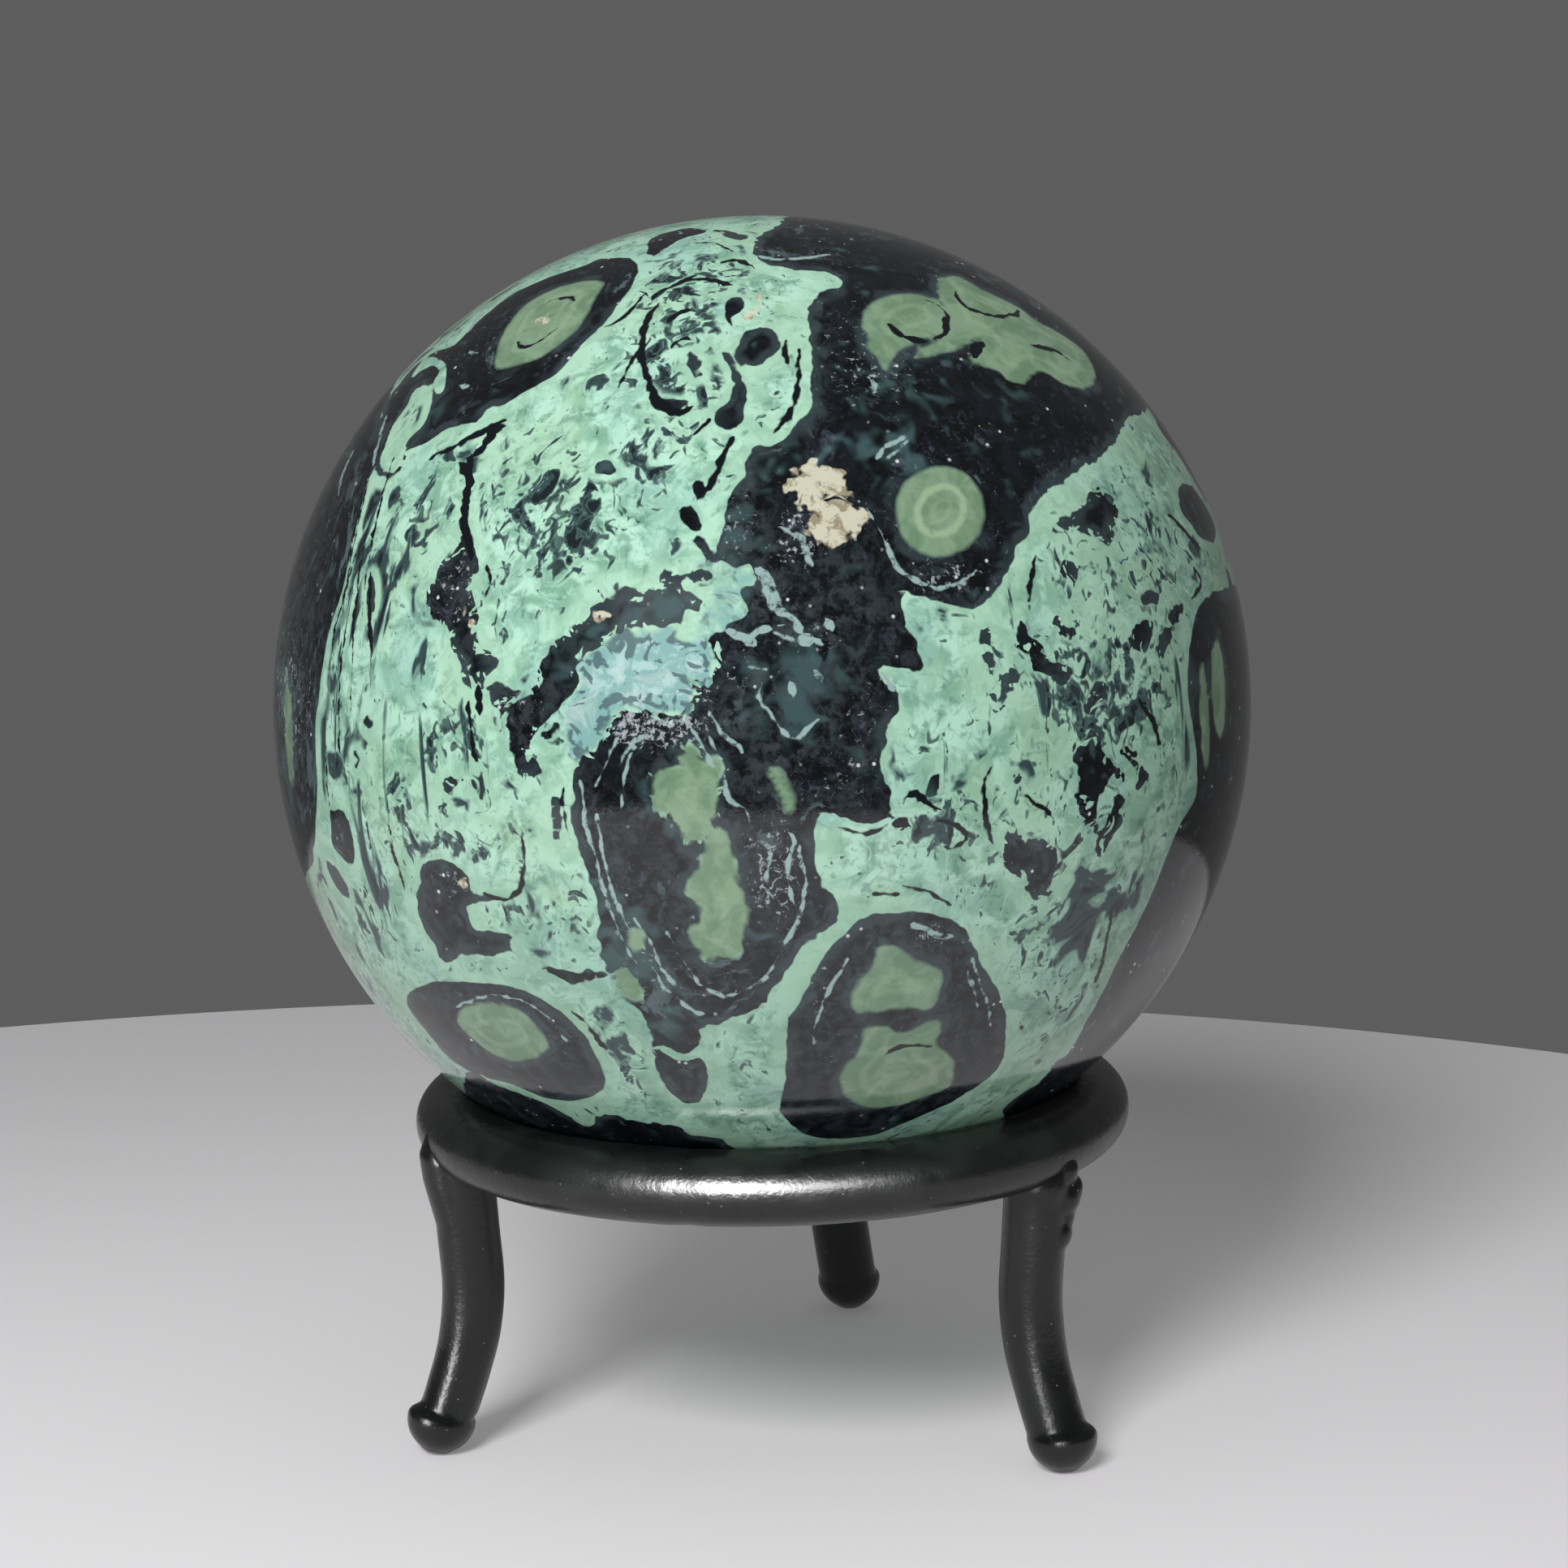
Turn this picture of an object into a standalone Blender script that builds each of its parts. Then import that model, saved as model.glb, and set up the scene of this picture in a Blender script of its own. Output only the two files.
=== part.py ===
"""Polished kambaba jasper sphere on a black three-legged ring stand.

Metres, +Z up. The origin is on the surface that the stand is on, straight below the centre of the stone.
The front of the object faces -Y. An azimuth is counted clockwise from +Y, seen from above.
"""

import math

import bmesh
import bpy
from mathutils import Vector

# The stone
STONE_DIAMETER = 0.065
STONE_SUBDIVISIONS = 5

# The stand, bent from round steel rod, welded and dipped in black paint
RING_ROD = 0.0047
RING_MEAN_RADIUS = 0.0219
RING_CENTRE_HEIGHT = 0.0212
RING_STEPS = 64
RING_ROD_SIDES = 14
LEG_ROD = 0.0041
LEG_ROD_SIDES = 14

# The gap that is left wherever two pieces meet
MEETING_GAP = 0.0003

# A leg's centreline in its own upright plane: distance from the stand's axis, and height
LEG_TOP = (0.0219, 0.0212)
LEG_NECK = (0.0216, 0.0150)
LEG_WAIST = (0.0214, 0.0112)
LEG_CALF = (0.0218, 0.0078)
LEG_ANKLE = (0.0227, 0.0048)
LEG_END = (0.0236, 0.0024)
LEG_STEPS_PER_SPAN = 4

# The weld bead that fills the corner between a leg and the ring
WELD_HALF_WIDTH = 0.0027
WELD_HALF_HEIGHT = 0.0026
WELD_CENTRE = (0.0221, 0.0190)

# The domed foot that each rod end is hammered to
FOOT_RIM_RADIUS = 0.00228
FOOT_RIM_HEIGHT = 0.00235
FOOT_SOLE_RADIUS = 0.00105
FOOT_NECK_RISE = 0.0006
FOOT_SIDES = 18

# Where each leg stands, how far it leans sideways from ring to foot, and how far its foot is tipped
LEGS = {
    "leg_back": {"azimuth": 10.0, "lean": -0.0014, "foot_tip": 6.0, "splay": 0.0},
    "leg_right": {"azimuth": 129.0, "lean": 0.0, "foot_tip": 4.0, "splay": -0.0004},
    "leg_left": {"azimuth": -109.0, "lean": 0.0, "foot_tip": 14.0, "splay": 0.0},
}

STONE_GREEN = (0.22, 0.45, 0.30, 1.0)
PAINT_BLACK = (0.012, 0.013, 0.014, 1.0)


def clear_scene():
    for old in list(bpy.data.objects):
        bpy.data.objects.remove(old, do_unlink=True)


def make_material(name, colour, roughness, metallic):
    material = bpy.data.materials.new(name)
    material.use_nodes = True
    shader = material.node_tree.nodes["Principled BSDF"]
    shader.inputs["Base Color"].default_value = colour
    shader.inputs["Roughness"].default_value = roughness
    shader.inputs["Metallic"].default_value = metallic
    material.diffuse_color = colour
    return material


def add_object(name, shape, material=None):
    """A new object from a bmesh, shaded smooth with its sharp corners kept."""
    bmesh.ops.recalc_face_normals(shape, faces=shape.faces)
    mesh = bpy.data.meshes.new(name)
    shape.to_mesh(mesh)
    shape.free()
    mesh.shade_smooth()
    mesh.set_sharp_from_angle(angle=math.radians(40))
    if material:
        mesh.materials.append(material)
    made = bpy.data.objects.new(name, mesh)
    bpy.context.scene.collection.objects.link(made)
    return made


def make_helper(obj):
    """A shape that only joins or cuts others: it is drawn as wire and is not part of the object."""
    obj.hide_render = True
    obj.display_type = "WIRE"
    return obj


def combine(obj, other, operation):
    step = obj.modifiers.new(other.name, "BOOLEAN")
    step.operation = operation
    step.solver = "EXACT"
    step.object = other


def torus_shape(mean_radius, rod_radius, height):
    """A ring of round rod about the Z axis."""
    shape = bmesh.new()
    section = bmesh.ops.create_circle(shape, segments=RING_ROD_SIDES, radius=rod_radius)
    for vert in section["verts"]:
        x, y = vert.co.x, vert.co.y
        vert.co = Vector((mean_radius + x, 0.0, height + y))
    bmesh.ops.spin(
        shape,
        geom=shape.verts[:] + shape.edges[:],
        axis=(0, 0, 1),
        cent=(0, 0, 0),
        steps=RING_STEPS,
        angle=math.tau,
        use_merge=True,
    )
    return shape


def turned_shape(profile, sides):
    """A solid turned about the Z axis from a profile of (radius, height) points."""
    shape = bmesh.new()
    verts = [shape.verts.new((radius, 0.0, height)) for radius, height in profile]
    edges = [shape.edges.new(pair) for pair in zip(verts, verts[1:])]
    bmesh.ops.spin(
        shape,
        geom=verts + edges,
        axis=(0, 0, 1),
        cent=(0, 0, 0),
        steps=sides,
        angle=math.tau,
        use_merge=True,
    )
    bmesh.ops.holes_fill(shape, edges=[e for e in shape.edges if e.is_boundary])
    return shape


def smooth_path(points, steps):
    """Catmull-Rom curve through the points, with this many steps for each span."""
    ends = [points[0] * 2 - points[1], *points, points[-1] * 2 - points[-2]]
    path = []
    for before, start, end, after in zip(ends, ends[1:], ends[2:], ends[3:]):
        for step in range(steps):
            t = step / steps
            path.append(
                0.5
                * (
                    2 * start
                    + (end - before) * t
                    + (2 * before - 5 * start + 4 * end - after) * t**2
                    + (3 * start - before - 3 * end + after) * t**3
                )
            )
    path.append(points[-1])
    return path


def rod_shape(path, radius):
    """A round rod along a path, closed at both ends."""
    shape = bmesh.new()
    rings = []
    for i, point in enumerate(path):
        along = (path[min(i + 1, len(path) - 1)] - path[max(i - 1, 0)]).normalized()
        side = Vector((0, 1, 0)).cross(along).normalized()
        front = along.cross(side)
        corners = []
        for k in range(LEG_ROD_SIDES):
            turn = math.tau * k / LEG_ROD_SIDES
            corners.append(shape.verts.new(point + radius * (math.cos(turn) * side + math.sin(turn) * front)))
        rings.append([shape.edges.new((a, b)) for a, b in zip(corners, corners[1:] + corners[:1])])
    for lower, upper in zip(rings, rings[1:]):
        bmesh.ops.bridge_loops(shape, edges=lower + upper)
    bmesh.ops.holes_fill(shape, edges=rings[0] + rings[-1])
    return shape


def foot_profile():
    """Half of the foot's outline: a flat sole, a round dome, a rim, and a short shoulder up into the rod."""
    profile = [(FOOT_SOLE_RADIUS, 0.0)]
    dome_steps = 5
    for step in range(1, dome_steps + 1):
        turn = math.radians(90) * step / dome_steps
        radius = FOOT_SOLE_RADIUS + (FOOT_RIM_RADIUS - FOOT_SOLE_RADIUS) * math.sin(turn)
        profile.append((radius, FOOT_RIM_HEIGHT * (1 - math.cos(turn))))
    profile.append((LEG_ROD / 2 * 0.9, FOOT_RIM_HEIGHT + FOOT_NECK_RISE))
    return profile


def build_stone():
    shape = bmesh.new()
    bmesh.ops.create_icosphere(shape, subdivisions=STONE_SUBDIVISIONS, radius=STONE_DIAMETER / 2)
    stone = add_object("stone_sphere", shape, make_material("polished_stone", STONE_GREEN, 0.12, 0.0))
    reach = STONE_DIAMETER / 2 + RING_ROD / 2 + MEETING_GAP
    stone.location.z = RING_CENTRE_HEIGHT + math.sqrt(reach**2 - RING_MEAN_RADIUS**2)
    return stone


def build_ring(paint):
    return add_object("ring", torus_shape(RING_MEAN_RADIUS, RING_ROD / 2, RING_CENTRE_HEIGHT), paint)


def build_leg(name, place, paint, ring_clearance, floor_cutter):
    """One leg: its rod, with the foot and the weld bead joined to it, cut clear of the ring and flat at the floor."""
    turned = math.radians(90 - place["azimuth"])
    top_height = LEG_TOP[1]
    points = []
    for distance, height in (LEG_TOP, LEG_NECK, LEG_WAIST, LEG_CALF, LEG_ANKLE, LEG_END):
        down = 1 - height / top_height
        points.append(Vector((distance + place["splay"] * down, place["lean"] * down, height)))
    leg = add_object(name, rod_shape(smooth_path(points, LEG_STEPS_PER_SPAN), LEG_ROD / 2), paint)
    leg.rotation_euler.z = turned

    end = points[-1]
    foot = make_helper(add_object(name + "_foot", turned_shape(foot_profile(), FOOT_SIDES)))
    foot.parent = leg
    foot.location = (end.x, end.y, 0.0)
    foot.rotation_euler.y = -math.radians(place["foot_tip"])
    sunk = FOOT_SOLE_RADIUS * math.sin(math.radians(place["foot_tip"]))
    foot.location.z = -sunk / 2

    bead = bmesh.new()
    bmesh.ops.create_uvsphere(bead, u_segments=16, v_segments=10, radius=1.0)
    bmesh.ops.scale(bead, verts=bead.verts, vec=(WELD_HALF_WIDTH, WELD_HALF_WIDTH, WELD_HALF_HEIGHT))
    weld = make_helper(add_object(name + "_weld", bead))
    weld.parent = leg
    weld.location = (WELD_CENTRE[0], 0.0, WELD_CENTRE[1])

    combine(leg, foot, "UNION")
    combine(leg, weld, "UNION")
    combine(leg, ring_clearance, "DIFFERENCE")
    combine(leg, floor_cutter, "DIFFERENCE")
    return leg


def build_stand():
    paint = make_material("black_paint", PAINT_BLACK, 0.32, 0.0)
    build_ring(paint)

    # A leg and its weld bead end where the ring's rod begins, so a slightly fatter ring is cut out of their top
    clearance_radius = RING_ROD / 2 + MEETING_GAP
    ring_clearance = make_helper(
        add_object("ring_clearance", torus_shape(RING_MEAN_RADIUS, clearance_radius, RING_CENTRE_HEIGHT))
    )
    floor_shape = bmesh.new()
    bmesh.ops.create_cube(floor_shape, size=STONE_DIAMETER)
    floor_cutter = make_helper(add_object("floor_cutter", floor_shape))
    floor_cutter.location.z = -STONE_DIAMETER / 2

    for name, place in LEGS.items():
        build_leg(name, place, paint, ring_clearance, floor_cutter)


def main():
    clear_scene()
    build_stone()
    build_stand()


main()
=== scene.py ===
"""Looks of the polished kambaba jasper sphere on its black ring stand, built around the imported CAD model.

Metres, +Z up, in the CAD's own frame: the front faces -Y and the origin is on the floor under the stone.
"""

import math
import random

import bpy
import numpy as np
from mathutils import Matrix, Vector, noise


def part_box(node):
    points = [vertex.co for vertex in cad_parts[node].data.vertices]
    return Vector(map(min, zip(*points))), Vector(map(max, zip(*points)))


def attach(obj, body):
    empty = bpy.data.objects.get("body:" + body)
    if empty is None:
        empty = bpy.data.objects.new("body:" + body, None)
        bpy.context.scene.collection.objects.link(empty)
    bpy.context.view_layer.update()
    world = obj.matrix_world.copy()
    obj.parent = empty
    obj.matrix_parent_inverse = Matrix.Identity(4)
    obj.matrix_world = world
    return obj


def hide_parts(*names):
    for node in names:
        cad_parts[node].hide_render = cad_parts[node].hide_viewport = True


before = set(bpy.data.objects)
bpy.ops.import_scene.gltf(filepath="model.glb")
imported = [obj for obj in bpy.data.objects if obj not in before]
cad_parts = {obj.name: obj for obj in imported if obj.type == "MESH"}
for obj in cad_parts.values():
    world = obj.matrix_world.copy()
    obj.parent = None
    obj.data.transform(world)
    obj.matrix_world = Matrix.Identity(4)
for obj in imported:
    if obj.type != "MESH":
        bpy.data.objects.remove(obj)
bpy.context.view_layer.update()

# The camera
# It stands in front of the stone and a little above its middle, and looks slightly down, as for the photo.
# The photo is square, and lengths in it are counted in its own pixels.
PHOTO_WIDTH = 1932
FOCAL_PIXELS = 4835.27
SENSOR_WIDTH = 36.0
CAMERA_PLACE = Vector((0.0, -0.26028, 0.08477))
CAMERA_YAW = 0.005067
CAMERA_DIP = 0.157750
CAMERA_ROLL = -0.024501

view_forward = Vector(
    (
        math.sin(CAMERA_YAW) * math.cos(CAMERA_DIP),
        math.cos(CAMERA_YAW) * math.cos(CAMERA_DIP),
        -math.sin(CAMERA_DIP),
    )
)
level_right = Vector((math.cos(CAMERA_YAW), -math.sin(CAMERA_YAW), 0.0))
level_up = level_right.cross(view_forward)
view_right = level_right * math.cos(CAMERA_ROLL) + level_up * math.sin(CAMERA_ROLL)
view_up = level_up * math.cos(CAMERA_ROLL) - level_right * math.sin(CAMERA_ROLL)

bpy.ops.object.select_all(action="DESELECT")
bpy.ops.object.camera_add(location=CAMERA_PLACE)
camera = bpy.context.object
camera.name = "camera"
turn = Matrix((view_right, view_up, -view_forward)).transposed()
camera.rotation_euler = turn.to_euler()
camera.data.lens = FOCAL_PIXELS * SENSOR_WIDTH / PHOTO_WIDTH
camera.data.sensor_width = SENSOR_WIDTH
camera.data.sensor_fit = "HORIZONTAL"
camera.data.clip_start = 0.01
bpy.context.scene.camera = camera
bpy.context.scene.view_settings.view_transform = "Standard"

# The stone
# A ball ground and polished from one block of kambaba jasper: green rock with black masses, eye-shaped orbs
# with olive middles, thin dark flow lines and ragged flecks. It lies loose in the ring by its own weight.
stone_low, stone_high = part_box("stone_sphere")
STONE_RADIUS = (stone_high.z - stone_low.z) / 2
STONE_MIDDLE = np.array([0.0, 0.0, (stone_high.z + stone_low.z) / 2])
BALL_CUTS = 127
MM = 1000.0

bpy.ops.object.select_all(action="DESELECT")
bpy.ops.mesh.primitive_cube_add(size=1.0)
ball = bpy.context.object
ball.name = "jasper_ball"
bpy.ops.object.mode_set(mode="EDIT")
bpy.ops.mesh.select_all(action="SELECT")
bpy.ops.mesh.subdivide(number_cuts=BALL_CUTS)
bpy.ops.transform.tosphere(value=1.0)
bpy.ops.object.mode_set(mode="OBJECT")
bpy.ops.object.shade_smooth()

# The cube's corner, where its faces are smallest, is turned to the front
to_front = CAMERA_PLACE - Vector(STONE_MIDDLE)
ball.rotation_euler = Vector((1, 1, 1)).rotation_difference(to_front).to_euler()
grown = STONE_RADIUS / ball.data.vertices[0].co.length
ball.scale = (grown, grown, grown)
ball.location = STONE_MIDDLE
bpy.ops.object.transform_apply(location=True, rotation=True, scale=True)

corners = np.empty(len(ball.data.vertices) * 3)
ball.data.vertices.foreach_get("co", corners)
outward = corners.reshape(-1, 3) - STONE_MIDDLE
outward /= np.linalg.norm(outward, axis=1, keepdims=True)

# Markings are drawn as outlines. Those in front are given by their places in the photo, and a place
# outside the stone's outline there wraps round to the back.
OUTLINE_MIDDLE = np.array([939.0, 866.0])
OUTLINE_RADIUS = 603.0
camera_offset = (np.array(CAMERA_PLACE) - STONE_MIDDLE) / STONE_RADIUS
view_axes = np.array([view_right, -view_up, view_forward])


def seen_at(places):
    """Directions from the stone's middle to what shows at these places in the photo."""
    offsets = np.array(places, float) - OUTLINE_MIDDLE
    reach = np.linalg.norm(offsets, axis=1, keepdims=True) / OUTLINE_RADIUS
    behind = reach[:, 0] > 1
    offsets = np.where(reach > 1, offsets * (2 - reach) / reach, offsets)
    across = offsets + OUTLINE_MIDDLE - PHOTO_WIDTH / 2
    rays = np.column_stack([across, np.full(len(across), FOCAL_PIXELS)]) @ view_axes
    rays /= np.linalg.norm(rays, axis=1, keepdims=True)
    toward = rays @ camera_offset
    half_chord = np.sqrt(np.maximum(toward**2 - camera_offset @ camera_offset + 1, 0))
    hits = camera_offset + rays * (np.where(behind, half_chord, -half_chord) - toward)[:, None]
    return hits / np.linalg.norm(hits, axis=1, keepdims=True)


def round_about(places):
    """Directions given as degrees clockwise from the back, seen from above, and degrees above the middle."""
    turn, rise = np.radians(np.array(places, float)).T
    return np.column_stack([np.sin(turn) * np.cos(rise), np.cos(turn) * np.cos(rise), np.sin(rise)])


def curve_place(before, start, end, after, t):
    """The place at share t of the soft curve from start to end."""
    bend = 2 * before - 5 * start + 4 * end - after
    curl = 3 * start - before - 3 * end + after
    return 0.5 * (2 * start + (end - before) * t + bend * t**2 + curl * t**3)


CURVE_STEPS = 3


def smooth_line(points, closed):
    """A soft curve over the stone through these directions."""
    if closed:
        held = np.vstack([points[-1:], points, points[:2]])
    else:
        held = np.vstack([2 * points[0] - points[1], points, 2 * points[-1] - points[-2]])
    curve = []
    for before, start, end, after in zip(held, held[1:], held[2:], held[3:]):
        for t in np.arange(CURVE_STEPS) / CURVE_STEPS:
            curve.append(curve_place(before, start, end, after, t))
    if not closed:
        curve.append(points[-1])
    curve = np.array(curve)
    return curve / np.linalg.norm(curve, axis=1, keepdims=True)


FAR_OFF = 9.0
SIDEWAYS = [0.31, 0.17, 0.93]


def measured(curve, closed, margin):
    """The ball's corners near a curve, and for each its mm off, whether inside, its share along and side."""
    middle = curve.mean(axis=0)
    middle /= np.linalg.norm(middle)
    spread = math.acos(max(-1.0, (curve @ middle).min())) + margin / (STONE_RADIUS * MM)
    near = np.arange(len(outward))
    if spread < math.pi:
        near = np.flatnonzero(outward @ middle > math.cos(spread))
    points = outward[near]
    side_a = np.cross(middle, SIDEWAYS)
    side_a /= np.linalg.norm(side_a)
    side_b = np.cross(middle, side_a)

    def flat(p):
        lift = np.maximum(1.0 + p @ middle, 1e-6)
        return (p @ side_a) / lift, (p @ side_b) / lift

    flat_x, flat_y = flat(points)
    curve_x, curve_y = flat(curve)
    count = len(curve) if closed else len(curve) - 1
    best = np.full(len(near), FAR_OFF)
    along = np.zeros(len(near))
    side = np.ones(len(near))
    inside = np.zeros(len(near), bool)
    for i in range(count):
        j = (i + 1) % len(curve)
        start, step = curve[i], curve[j] - curve[i]
        from_start = points - start
        t = np.clip(from_start @ step / (step @ step), 0, 1)
        off = from_start - t[:, None] * step
        gap = np.einsum("ij,ij->i", off, off)
        closer = gap < best
        best[closer] = gap[closer]
        if closed:
            crosses = (curve_y[i] > flat_y) != (curve_y[j] > flat_y)
            if crosses.any():
                slope = (curve_x[j] - curve_x[i]) / (curve_y[j] - curve_y[i])
                inside ^= crosses & (flat_x < curve_x[i] + slope * (flat_y - curve_y[i]))
        else:
            along[closer] = (i + t[closer]) / count
            side[closer] = np.sign(points[closer] @ np.cross(start, step) + 1e-12)
    gap = np.sqrt(best) * STONE_RADIUS * MM
    return near, gap, inside, along, side


# How deep each corner is inside the dark masses and the olive middles, in mm, and how ragged their edges are
FARTHEST = 5.0
PLAIN_RAGGED = 0.15
FAINT_WEIGHT = 1e-3
EDGE_NEARNESS = 0.25
dark_depth = np.full(len(outward), -FARTHEST)
olive_depth = np.full(len(outward), -FARTHEST)
rough_sum = np.full(len(outward), PLAIN_RAGGED * FAINT_WEIGHT)
rough_weight = np.full(len(outward), FAINT_WEIGHT)


def depth_in(directions, ragged=None):
    """How deep each corner of the ball is inside a closed outline, in mm, and below zero outside."""
    near, gap, inside, _, _ = measured(smooth_line(directions, True), True, FARTHEST)
    depth = np.full(len(outward), -FARTHEST)
    depth[near] = np.where(inside, gap, np.maximum(-gap, -FARTHEST))
    if ragged is not None:
        weight = 1 / (np.abs(depth) + EDGE_NEARNESS) ** 4
        rough_sum[:] += weight * ragged
        rough_weight[:] += weight
    return depth


def dark_mass(ragged, directions):
    """Black rock inside an outline; the two at the stone's foot next to the ring also hold painted shade."""
    dark_depth[:] = np.maximum(dark_depth, depth_in(directions, ragged))


def green_island(ragged, directions, olive=False):
    """Green rock inside an outline that lies in black rock, or the olive middle of an orb."""
    depth = depth_in(directions, ragged)
    dark_depth[:] = np.minimum(dark_depth, -depth)
    if olive:
        olive_depth[:] = np.maximum(olive_depth, depth)


def oval(x, y, half_width, half_height, turned=0.0):
    """Places in the photo on an oval, with its width turned clockwise by so many degrees."""
    around = np.radians(np.arange(0, 360, 30))
    lean = math.radians(turned)
    wide = half_width * np.cos(around)
    high = half_height * np.sin(around)
    return np.column_stack(
        [x + wide * math.cos(lean) - high * math.sin(lean), y + wide * math.sin(lean) + high * math.cos(lean)]
    )


# The great dark mass from the top down to the big egg, right of the middle
dark_mass(0.16, seen_at([
    (927, 301), (941, 288), (960, 276), (1000, 250), (1110, 262), (1215, 300), (1320, 362), (1420, 455),
    (1440, 500), (1400, 510), (1386, 521), (1377, 541), (1369, 552), (1350, 565), (1330, 579), (1314, 587),
    (1300, 598), (1286, 612), (1275, 626), (1270, 637), (1267, 651), (1262, 667), (1250, 681), (1240, 706),
    (1230, 725), (1212, 747), (1199, 752), (1182, 747), (1154, 738), (1124, 734), (1105, 725), (1116, 736),
    (1117, 750), (1114, 770), (1121, 778), (1130, 789), (1138, 822), (1132, 830), (1116, 827), (1083, 819),
    (1090, 840), (1105, 855), (1108, 874), (1105, 882), (1091, 893), (1091, 916), (1085, 938), (1083, 951),
    (1094, 968), (1098, 985), (1094, 1003), (1077, 1015), (1058, 1015), (1038, 1007), (1019, 1001),
    (1004, 1001), (1003, 1041), (1006, 1066), (1014, 1088), (1028, 1105), (1036, 1130), (1020, 1146),
    (1003, 1154), (987, 1168), (976, 1187), (965, 1204), (943, 1234), (926, 1245), (904, 1256), (893, 1265),
    (865, 1265), (863, 1276), (857, 1292), (838, 1298), (821, 1292), (805, 1276), (791, 1254), (774, 1237),
    (761, 1218), (750, 1198), (741, 1176), (736, 1149), (736, 1116), (725, 1083), (711, 1041), (704, 1007),
    (703, 985), (705, 957), (712, 940), (724, 927), (741, 907), (752, 883), (763, 869), (787, 874),
    (829, 877), (845, 877), (854, 861), (848, 833), (856, 833), (870, 850), (876, 841), (862, 827),
    (873, 822), (877, 805), (870, 789), (895, 775), (906, 767), (920, 759), (923, 750), (917, 739),
    (920, 725), (928, 720), (925, 700), (909, 700), (895, 692), (884, 688), (885, 668), (892, 646),
    (894, 621), (903, 605), (916, 588), (919, 572), (922, 558), (933, 551), (950, 549), (969, 538),
    (980, 525), (992, 514), (999, 500), (1001, 475), (1002, 450), (999, 425), (996, 401), (995, 381),
    (1005, 370), (1013, 359), (1032, 354), (1035, 348), (1027, 339), (1002, 334), (974, 332), (944, 325),
    (933, 315),
]))

# The dark ground of the orb at the upper left
dark_mass(0.07, seen_at([
    (785, 325), (773, 318), (740, 319), (724, 326), (699, 334), (661, 348), (633, 362), (606, 381),
    (585, 400), (560, 425), (545, 440), (540, 460), (545, 480), (530, 490), (530, 505), (525, 520),
    (505, 545), (510, 552), (528, 544), (545, 533), (564, 524), (589, 519), (603, 502), (619, 500),
    (647, 483), (677, 467), (697, 450), (710, 434), (724, 417), (743, 400), (762, 376), (776, 356),
    (784, 340),
]))

# The long dark band at the left side, which runs on round to the back
dark_mass(0.05, seen_at([
    (620, 350), (560, 385), (500, 455), (480, 490), (468, 515), (462, 545), (458, 570), (452, 600),
    (444, 630), (440, 640), (429, 695), (421, 731), (410, 764), (402, 794), (398, 822), (393, 860),
    (389, 888), (389, 916), (391, 971), (389, 1026), (386, 1048), (382, 1070), (350, 1100), (320, 1000),
    (300, 900), (300, 800), (310, 700), (340, 600), (390, 510), (440, 450), (520, 395),
]))

# The dark ground round the hook and the pale lens at the upper left
dark_mass(0.05, seen_at([
    (575, 420), (556, 428), (535, 434), (512, 450), (496, 468), (480, 492), (470, 514), (462, 545),
    (458, 570), (464, 584), (480, 591), (492, 584), (499, 566), (508, 550), (526, 540), (545, 520),
    (560, 500), (565, 460),
]))

# The ragged dark band that curls over the pale patch
dark_mass(0.22, seen_at([
    (606, 833), (625, 854), (644, 852), (655, 844), (661, 827), (669, 811), (683, 794), (697, 781),
    (713, 767), (727, 757), (727, 747), (735, 742), (749, 738), (760, 725), (774, 719), (785, 727),
    (799, 725), (807, 731), (812, 723), (815, 709), (823, 701), (840, 702), (856, 698), (873, 702),
    (881, 712), (873, 720), (859, 717), (845, 720), (856, 734), (867, 745), (862, 756), (845, 753),
    (845, 767), (837, 775), (823, 770), (812, 775), (801, 772), (774, 772), (763, 778), (749, 792),
    (732, 803), (716, 816), (705, 827), (716, 833), (716, 841), (705, 858), (691, 869), (683, 874),
    (672, 888), (661, 902), (652, 916), (655, 935), (669, 953), (655, 951), (650, 957), (639, 946),
    (630, 924), (628, 902), (622, 888), (611, 869), (604, 850),
]))
dark_mass(0.2, seen_at([(688, 891), (686, 907), (672, 913), (666, 907), (677, 902)]))

# The dark body left of the middle, and the forked stroke below it
dark_mass(0.25, seen_at([
    (556, 680), (567, 664), (574, 640), (580, 656), (584, 680), (587, 700), (584, 712), (577, 723),
    (578, 734), (586, 742), (590, 756), (589, 778), (590, 794), (595, 805), (606, 808), (612, 819),
    (606, 827), (595, 833), (590, 850), (575, 840), (567, 827), (570, 811), (559, 803), (550, 789),
    (545, 775), (528, 761), (526, 750), (527, 725), (534, 712), (542, 692),
]))
dark_mass(0.25, seen_at([
    (564, 954), (578, 946), (595, 957), (595, 979), (597, 996), (592, 998), (586, 982), (586, 965),
    (573, 962), (562, 968), (559, 979), (548, 990), (545, 1009), (541, 1012), (542, 993), (545, 976),
    (548, 965),
]))

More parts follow.
